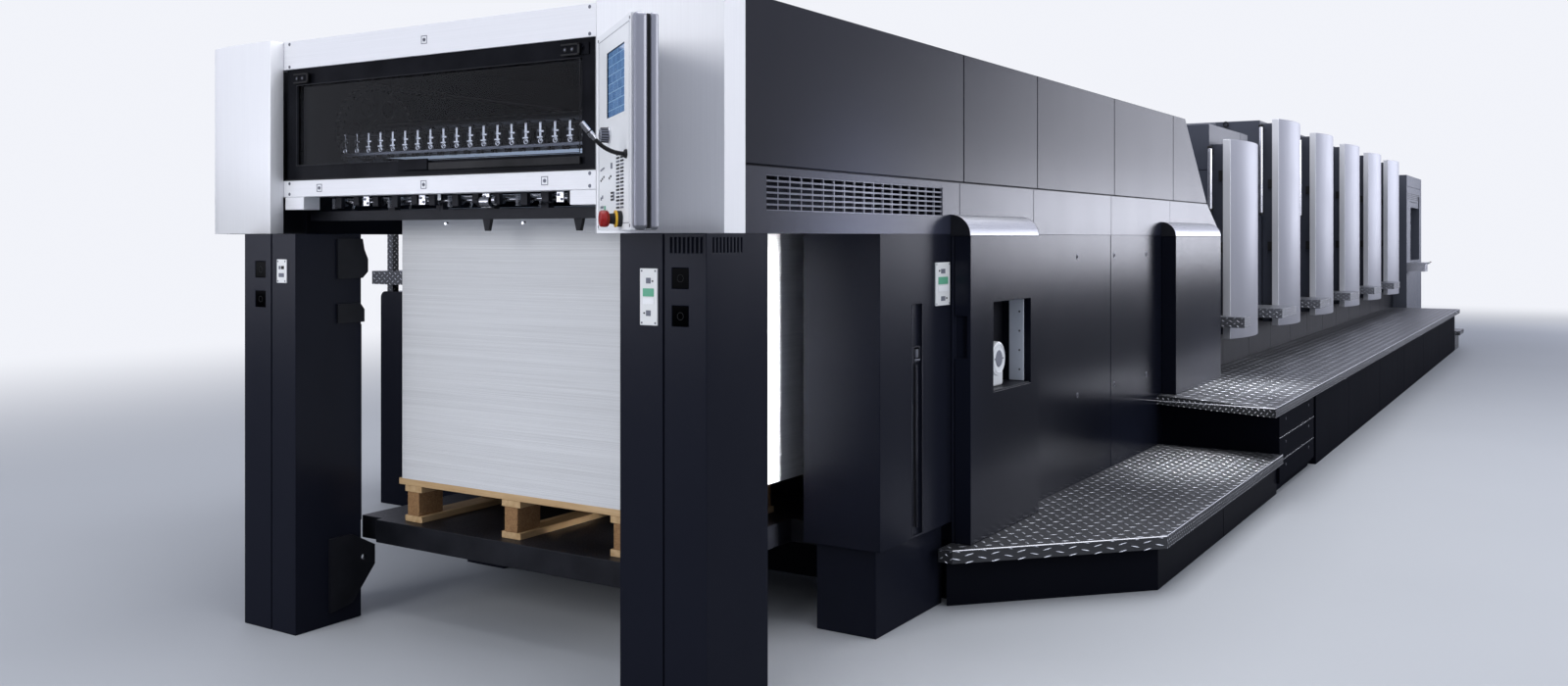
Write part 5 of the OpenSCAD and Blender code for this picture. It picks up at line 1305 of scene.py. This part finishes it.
# %% [markdown]
# Three white plates with a screw in each corner carry flat keys and small bare places. One
# helper builds them all: a plate's own measures are turned onto the front or the side of a
# post by the function that is handed to it.

# %% Helper: add a button plate
def add_button_plate(bm, at, u0, u1, z0, z1, keys):
    add_block(bm, at(u0, 0.3, z0), at(u1, -4.2, z1), 1.3, 3, 0)
    for k0, k1, kz0, kz1, tone in keys:
        add_block(bm, at(k0, -3.8, kz0), at(k1, -5.9, kz1), 0.8, 2, tone)
    for u, z in ((u0 + 6, z0 + 6), (u1 - 6, z0 + 6), (u0 + 6, z1 - 6), (u1 - 6, z1 - 6)):
        add_bar(bm, at(u, -3.6, z), at(u, -5.0, z), 2.6, sides=12, edge=0.3, finish=3)


def on_front(u, out, z):
    return (out, u, z)


def on_side(u, out, z):
    return (u, out, z)


print("button plate helper ready")

# %% [markdown]
# The plate beside the pile and the one on the rear post have a green key over a white one. The
# small plate on the far post has three places of its own.

# %% Button plates
plates = bmesh.new()
add_button_plate(plates, on_front, 146, 200, 993, 1133,
                 [(156, 190, 1064, 1084, 1), (156, 190, 1045, 1060, 2), (166, 180, 1096, 1110, 4),
                  (158, 162, 1100, 1104, 5), (166, 180, 1016, 1030, 4), (184, 188, 1021, 1025, 5)])
add_button_plate(plates, on_side, 1254, 1361, 988, 1128,
                 [(1272, 1343, 1057, 1081, 1), (1272, 1343, 1034, 1052, 2), (1292, 1322, 1092, 1107, 4),
                  (1276, 1284, 1098, 1104, 5), (1292, 1322, 1003, 1018, 4), (1330, 1338, 1008, 1014, 5)])
add_button_plate(plates, on_front, 1573, 1619, 1070, 1142,
                 [(1584, 1596, 1112, 1122, 5), (1600, 1608, 1112, 1122, 4), (1584, 1608, 1088, 1100, 4)])
finish_piece(plates, "button_plates", [key_white, key_green, console_white, dark_steel, key_grey, rubber_black],
             "machine", ("button_panels",))

# %% [markdown]
# The rear post has a long recessed track with a latch. The track gets two thin guide strips
# and a rod, and the latch its block and its steel catch.

# %% Latch in the rear post track
latch = bmesh.new()
for x in (1090.5, 1161.5):
    add_block(latch, (x, -1.2, 277), (x + 3, 0.4, 1000), 0.5, 2, 0)
add_block(latch, (1104, 2, 818), (1150, 9, 868), 2.0, 3, 1)
add_block(latch, (1118, -1, 832), (1136, 4, 858), 1.5, 3, 2)
add_block(latch, (1110, -2, 822), (1144, 2, 828), 1.0, 2, 2)
add_bar(latch, (1127, 3, 300), (1127, 3, 812), 5, sides=14, finish=1)
finish_piece(latch, "post_track_latch", [cast_black, frame_black, dark_steel])

# %% [markdown]
# Two cabinets stand proud of the side, each under a rounded silver cap. The end of a cap is a
# dark plate of the same profile: a disc that is extruded and then cut down to a quarter by two
# planes, each time with the cut closed again.

# %% Cabinets and caps
ease("front_cabinet", 2.5, lower_coat)
ease("rear_cabinet", 2.5, lower_coat)
ease("cabinet_caps", 1.6, silver_along, sharp=40.0)
cap_ends = bmesh.new()
for x0, x1 in ((1378, 1987), (3818, 4708)):
    for x in (x0 - 3.0, x1 + 1.0):
        before = set(cap_ends.faces)
        disc = bmesh.ops.create_circle(cap_ends, cap_ends=True, segments=64, radius=0.0695)["verts"]
        bmesh.ops.rotate(cap_ends, cent=(0, 0, 0), matrix=Matrix.Rotation(math.pi / 2, 3, "Y"), verts=disc)
        bmesh.ops.translate(cap_ends, vec=place(x, 0, 1215), verts=disc)
        fresh = [f for f in cap_ends.faces if f not in before]
        grown = bmesh.ops.extrude_face_region(cap_ends, geom=fresh)["geom"]
        bmesh.ops.translate(cap_ends, vec=(0.002, 0, 0), verts=[g for g in grown if isinstance(g, bmesh.types.BMVert)])
for co, no in ((place(0, 0, 1215), (0, 0, -1)), (place(0, -0.2, 0), (0, 1, 0))):
    bmesh.ops.bisect_plane(cap_ends, geom=cap_ends.verts[:] + cap_ends.edges[:] + cap_ends.faces[:], dist=0.00001,
                           plane_co=co, plane_no=no, clear_outer=True)
    bmesh.ops.holes_fill(cap_ends, edges=[e for e in cap_ends.edges if e.is_boundary], sides=0)
finish_piece(cap_ends, "cap_end_plates", [cast_black])

# %% [markdown]
# The front cabinet has a niche for a bottle. A pale sheet with four screws lines its right
# side, and dark sheets its back and its floor.

# %% Niche liner
niche = bmesh.new()
add_block(niche, (1899, -45, 690), (1906.5, 10, 985), 1.5, 2, 0)
add_block(niche, (1570, 40, 684.2), (1905, 60, 988), 1.0, 2, 1)
add_block(niche, (1572, -66, 684.2), (1903, 58, 688), 0.8, 2, 1)
for z in (730, 800, 870, 940):
    add_bar(niche, (1904, -30, z), (1897.5, -30, z), 4, sides=16, edge=0.6, finish=2)
finish_piece(niche, "niche_liner", [niche_liner, cast_black, dark_steel])

# %% [markdown]
# The bottle lies on a foot with its round end to the front. A rim and a grey cap with a grip
# bar mark that end, and a second cap closes the filler on top.

# %% Bottle in the niche
bottle = bmesh.new()
add_block(bottle, (1632, -30, 688.2), (1748, 60, 752), 9.0, 4, 0)
add_bar(bottle, (1690, 62, 786), (1690, -38, 786), 60, sides=56, edge=7.0, finish=0)
add_ring(bottle, (1690, -38.4, 786), (0, 1, 0), 49, 2.0, 48, 0)
add_bar(bottle, (1690, -37.8, 786), (1690, -40, 786), 30, 27, 40, 0.8, finish=1)
add_block(bottle, (1650, -39.6, 783), (1730, -38.2, 788), 0.5, 2, 1)
add_bar(bottle, (1690, 10, 844), (1690, 10, 848), 16, sides=28, edge=1.0, finish=1)
finish_piece(bottle, "niche_bottle", [bottle_white, key_grey], "machine", ("bottle",))

# %% [markdown]
# The printing units wear curved silver covers. The curved face is a mid silver, and the folded
# left edge, which turns to the front, is painted a lighter silver as a painted highlight. The
# eased copy gets that second finish by the direction of each face. A cut takes off the root of
# each cover where its carrier begins.

# %% Unit covers with a painted highlight on the fold
covers = eased_mesh("unit_covers", 3.0, 40.0, 3)
bmesh.ops.bisect_plane(covers, geom=covers.verts[:] + covers.edges[:] + covers.faces[:], dist=0.00001,
                       plane_co=place(0, 22, 0), plane_no=(0, 1, 0), clear_outer=True)
bmesh.ops.holes_fill(covers, edges=[e for e in covers.edges if e.is_boundary], sides=0)
bright = 0
covers.normal_update()
# Faces turned to the front get the lighter silver: a painted highlight.
for face in covers.faces:
    face.material_index = 1 if face.normal.x < -0.75 else 0
    bright += face.material_index
finish_piece(covers, "unit_cover_shells", [silver_upright, lit_fold_silver], "machine", ("unit_covers",))
print("bright fold faces", bright)

# %% [markdown]
# Behind each cover stands a dark carrier with three hinge blocks, so that a cover seen from
# behind is held by something. The first cover is lower than the others.

# %% Carriers behind the covers
UNIT_COUNT, FIRST_UNIT, UNIT_PITCH = 6, 5143, 1345
carriers = bmesh.new()
for n in range(UNIT_COUNT):
    x, top = FIRST_UNIT + UNIT_PITCH * n, 1777 if n == 0 else 2000
    add_block(carriers, (x + 70, 21, 640), (x + 640, 100, top - 20), 6.0, 3, 0)
    for z in (700, 1120, 1540):
        add_block(carriers, (x + 52, 30, z), (x + 70, 60, z + 60), 2.5, 2, 1)
finish_piece(carriers, "cover_carriers", [tower_coat, rubber_black])

# %% [markdown]
# A long chromed grab bar stands off the left of each cover, on two stand-offs with feet, and
# between two black end caps. The towers behind the covers are eased copies.

# %% Handle bars and towers
handles = bmesh.new()
for n in range(UNIT_COUNT):
    x = FIRST_UNIT + UNIT_PITCH * n - 45
    top = 1747 if n == 0 else 1970
    add_bar(handles, (x, 84, 1372), (x, 84, top - 22), 12.5, sides=24, edge=4.0, finish=0)
    for z in (1384, top - 40):
        add_bar(handles, (x, 84, z), (x + 44.5, 84, z), 7, sides=16, finish=1)
        add_block(handles, (x + 40, 73, z - 16), (x + 44.8, 95, z + 16), 1.5, 2, 1)
    add_block(handles, (x - 13, 72, top - 24), (x + 14, 97.5, top - 8), 3.0, 3, 1)
    add_block(handles, (x - 11, 74, 1357), (x + 12, 96, 1373), 3.0, 3, 1)
finish_piece(handles, "unit_handle_bars", [chrome_bar, rubber_black], "machine", ("unit_handles",))
for n in range(UNIT_COUNT):
    ease("unit_%d" % (n + 1), 3.0, tower_coat)

# %% [markdown]
# The side housings are made of many sheets. Eased copies give each sheet its fine line of
# light, also on the roof, the plinths and the drive side.

# %% Eased housings
for part, edge, finish, slot in (
        ("hood_upper_panels", 2.0, panel_coat, "dark_coat"), ("side_panels", 2.0, lower_coat, "dark_coat"),
        ("hood_roof", 3.0, panel_coat, "dark_coat"), ("drawer_fronts", 2.0, sill_coat, "dark_coat"),
        ("lower_step_plinth", 2.0, body_coat, "dark_coat"), ("gallery_plinth", 2.0, sill_coat, "dark_coat"),
        ("drive_cabinets", 3.0, lower_coat, "dark_coat"), ("feeder_frame", 3.0, feeder_side_coat, "dark_coat"),
        ("feeder_desk", 2.0, silver_along, "silver_coat"), ("feeder_head", 1.5, bright_steel, "bright_steel")):
    ease(part, edge, finish)
ease("pile_board", 2.0, cast_black, "pile_lift")

# %% [markdown]
# Thin trims come next: the bright pull strips of the drawers and the slotted screws on their
# fronts, rows of countersunk screws that hold the tread plates, and the round steel nosing
# along the plates' edges.

# %% Drawer strips, nosings and screws
trims = bmesh.new()
for z in (374, 264, 154):
    add_block(trims, (3850, -546.6, z - 4), (4712, -544.2, z), 0.8, 2, 0)
for x in (3990, 4570):
    for z in (340, 230, 120):
        add_bar(trims, (x, -544.6, z), (x, -547.0, z), 7, sides=24, edge=0.8, finish=1)
        # The dark bar stands for the screw's slot: painted shade.
        add_block(trims, (x - 4, -547.6, z - 0.8), (x + 4, -546.8, z + 0.8), 0, 1, 2)
for x in range(3640, 12900, 640):
    for y in (-560, 60):
        add_bar(trims, (x, y, 439.4), (x, y, 441.0), 8, sides=16, edge=0.5, finish=1)
for x in range(1960, 3740, 440):
    for y in (-547, -40):
        add_bar(trims, (x, y, 199.4), (x, y, 201.0), 8, sides=16, edge=0.5, finish=1)
add_bar(trims, (3541, -587, 438.5), (12939, -587, 438.5), 2.6, sides=12, finish=0)
add_bar(trims, (3541, -587, 438.5), (3541, -2, 439), 2.6, sides=12, finish=0)
add_bar(trims, (1281, -50, 199), (1857, -574.5, 198.5), 2.6, sides=12, finish=0)
add_bar(trims, (1857, -574.5, 198.5), (3765, -574.5, 198.5), 2.6, sides=12, finish=0)
add_bar(trims, (1281, -2, 199), (1281, -50, 199), 2.6, sides=12, finish=0)
finish_piece(trims, "plate_trims", [bright_steel, dark_steel, rubber_black])

# %% [markdown]
# The housing seams are real gaps in the measured panels. Both long sides also carry small
# flush locks, each a steel disc with a dark six-sided key hole, that hold the lower panels.

# %% Locks on the operator side and the drive side
locks = bmesh.new()
lock_places = [(x, 0, z, -1) for z in (1130, 560) for x in (2140, 2600, 3080, 3560)]
lock_places += [(x, 2120, z, 1) for x in (1800, 2700, 3600, 4500) for z in (1130, 700)]
for x, y, z, way in lock_places:
    add_bar(locks, (x, y - way * 1.0, z), (x, y + way * 1.6, z), 11, sides=32, edge=0.8, finish=0)
    # The dark hexagon stands for the key hole: painted shade.
    add_bar(locks, (x, y + way * 1.0, z), (x, y + way * 2.4, z), 6.5, sides=6, edge=0.4, finish=1)
finish_piece(locks, "panel_locks", [dark_steel, rubber_black])

# %% [markdown]
# A black hook with an eye stands behind the first tall unit. Each unit's face, which turns to
# the delivery, carries two level tubes with clamps and a row of bolts. Vent slots are thin black
# strips set flush into the tops, painted shade for the openings.

# %% Hook, hoses and small parts on the units
fittings = bmesh.new()
add_block(fittings, (6450, 302, 1640), (6487, 336, 1950), 5.0, 3, 0)
add_ring(fittings, (6468, 318, 1977), (1, 0, 0), 15, 5.5, 28, 0)
add_block(fittings, (6462, 311, 1944), (6476, 325, 1966), 2.0, 2, 0)
add_bar(fittings, (6468, 300, 1700), (6468, 130, 1560), 9, sides=18, edge=1.0, finish=2)
for n in range(UNIT_COUNT):
    x, top = FIRST_UNIT + UNIT_PITCH * n, 1876 if n == 0 else 2000
    # Each vent slot is a black strip: painted shade for the opening.
    for y in (420, 1060, 1700):
        for slot_x in range(int(x) + 170, int(x) + 840, 45):
            add_block(fittings, (slot_x, y - 120, top - 2), (slot_x + 14, y + 120, top), 0.4, 1, 1)
    add_bar(fittings, (x - 3, 260, 1200), (x - 3, 1940, 1200), 16, sides=24, finish=2)
    add_bar(fittings, (x - 3, 260, 1320), (x - 3, 1940, 1320), 10, sides=20, finish=2)
    for y in range(300, 1940, 180):
        add_block(fittings, (x - 14, y, 1186), (x + 2, y + 26, 1226), 3.0, 2, 0)
    for k in range(7):
        y = 330 + k * 240
        add_bar(fittings, (x - 1, y, 1500), (x - 7, y, 1500), 11, sides=24, edge=1.0, finish=2)
finish_piece(fittings, "unit_fittings", [cast_black, rubber_black, dark_steel])

# %% [markdown]
# The feeder lifts sheets off its pile with two rows of suckers, each a steel tube with a
# rubber cup. Its desk has a keypad with a stop key, and its side has slots, hinges and bolts.

# %% Feeder details
feeder = bmesh.new()
for k in range(5):
    y = 640 + k * 210
    for x, neck, tube, wide, narrow, tip in ((13745, 1062, 13, 20, 13, 1046), (13960, 1070, 11, 18, 12, 1056)):
        add_bar(feeder, (x, y, 1120), (x, y, neck), tube, sides=24, edge=1.2, finish=0)
        add_bar(feeder, (x, y, neck), (x, y, tip), wide, narrow, 28, 1.0, finish=1)
for z in (1290, 1390, 1490):
    add_block(feeder, (13600, -41.5, z), (13608, -36, z + 60), 1.2, 2, 2)
for k in range(6):
    add_block(feeder, (13320 + 40 * k, -262, 926.5), (13346 + 40 * k, -240, 930), 1.5, 2, 3 if k % 3 else 4)
add_bar(feeder, (13560, -250, 926.5), (13560, -250, 936), 9, sides=28, edge=1.5, finish=5)
for z in (300, 620, 1600, 1720):
    for x in (13300, 14660):
        add_bar(feeder, (x, -39.4, z), (x, -42.0, z), 8, sides=6, edge=0.6, finish=2)
# The side slots are dark strips: painted shade for the openings.
for x0, x1 in ((13330, 13560), (13640, 14460)):
    for z in (1640, 1660, 1680, 1700):
        add_block(feeder, (x0, -41.0, z), (x1, -38.6, z + 7), 0.8, 1, 6)
finish_piece(feeder, "feeder_fittings",
             [bright_steel, rubber_black, dark_steel, key_white, key_green, stop_red, cast_black])

# %% [markdown]
# The photo doesn't show the drive side, so it is kept plain: flat doors that stand a little
# proud of the housings, each with eight vent slots and an upright pull. A door is one eased
# block, and its slots are thin dark strips on its face.

# %% Helper: add a door
doors = bmesh.new()


def add_door(x0, x1, y, z0, z1, finish):
    add_block(doors, (x0, y - 1, z0), (x1, y + 6, z1), 3.0, 3, finish)
    # The dark strips stand for the vent openings: painted shade.
    for k in range(8):
        add_block(doors, (x0 + 80, y + 5.5, z0 + 60 + k * 22), (x1 - 80, y + 7.2, z0 + 68 + k * 22), 0.8, 1, 2)
    middle = (z0 + z1) / 2
    add_block(doors, (x0 + 40, y + 4, middle - 60), (x0 + 66, y + 14, middle + 60), 4.0, 3, 3)


print("door helper ready")

# %% [markdown]
# Each unit has one door there, the bed below has as many plates, and the cabinets and the
# feeder have doors of their own. The roof gets the seams between its sheets, with pairs of
# screws along each seam.

# %% Doors on the drive side and seams on the roof
for n in range(UNIT_COUNT):
    x, top = FIRST_UNIT + UNIT_PITCH * n, 1876 if n == 0 else 2000
    add_door(x + 50, x + 930, 2100, 780, top - 90, 0)
    add_block(doors, (5530 + 1285 * n, 2107, 60), (6785 + 1285 * n, 2113, 560), 3.0, 3, 1)
for x in (1500, 2830, 4160):
    add_door(x, x + 1290, 2880, 70, 900, 1)
add_door(13400, 14560, 2100, 100, 860, 4)
for x in (1420, 2220, 3020, 3820):
    add_block(doors, (x - 2, 30, 1824.3), (x + 2, 2090, 1825.7), 0.3, 1, 2)
    for y in (110, 760, 1410, 2010):
        for side in (-45, 45):
            add_bar(doors, (x + side, y, 1824.3), (x + side, y, 1826.4), 7, sides=16, edge=0.5, finish=3)
finish_piece(doors, "drive_side_doors", [tower_coat, lower_coat, rubber_black, dark_steel, feeder_side_coat])

# %% [markdown]
# Some lamps are meant for one surface only, as a photographer flags a lamp with black card.
# Light linking leaves the silver covers out of the strip that draws the band on the dark
# panels, and keeps the small lamps off the floor and off the posts beside the pile.

# %% Flag the small lamps
def leave_out(lamps, pieces):
    group = bpy.data.collections.new(lamps[0] + "_receivers")
    for piece in pieces:
        group.objects.link(scene.objects[piece])
    for entry in group.collection_objects:
        entry.light_linking.link_state = "EXCLUDE"
    for lamp in lamps:
        scene.objects[lamp].light_linking.receiver_collection = group
    print(lamps, "leave out", pieces)


leave_out(["panel_sheen_box"], ["unit_cover_shells"])
leave_out(["step_box", "gallery_box"], ["studio_floor"])
leave_out(["side_gap_box"], ["studio_floor", "rear_post_near_eased", "delivery_post_near_eased", "button_plates"])

# %% [markdown]
# The last cell prints the measured box.

# %% Print the measured box
print("measured box", [tuple(round(float(v), 3) for v in c) for c in cad_box])
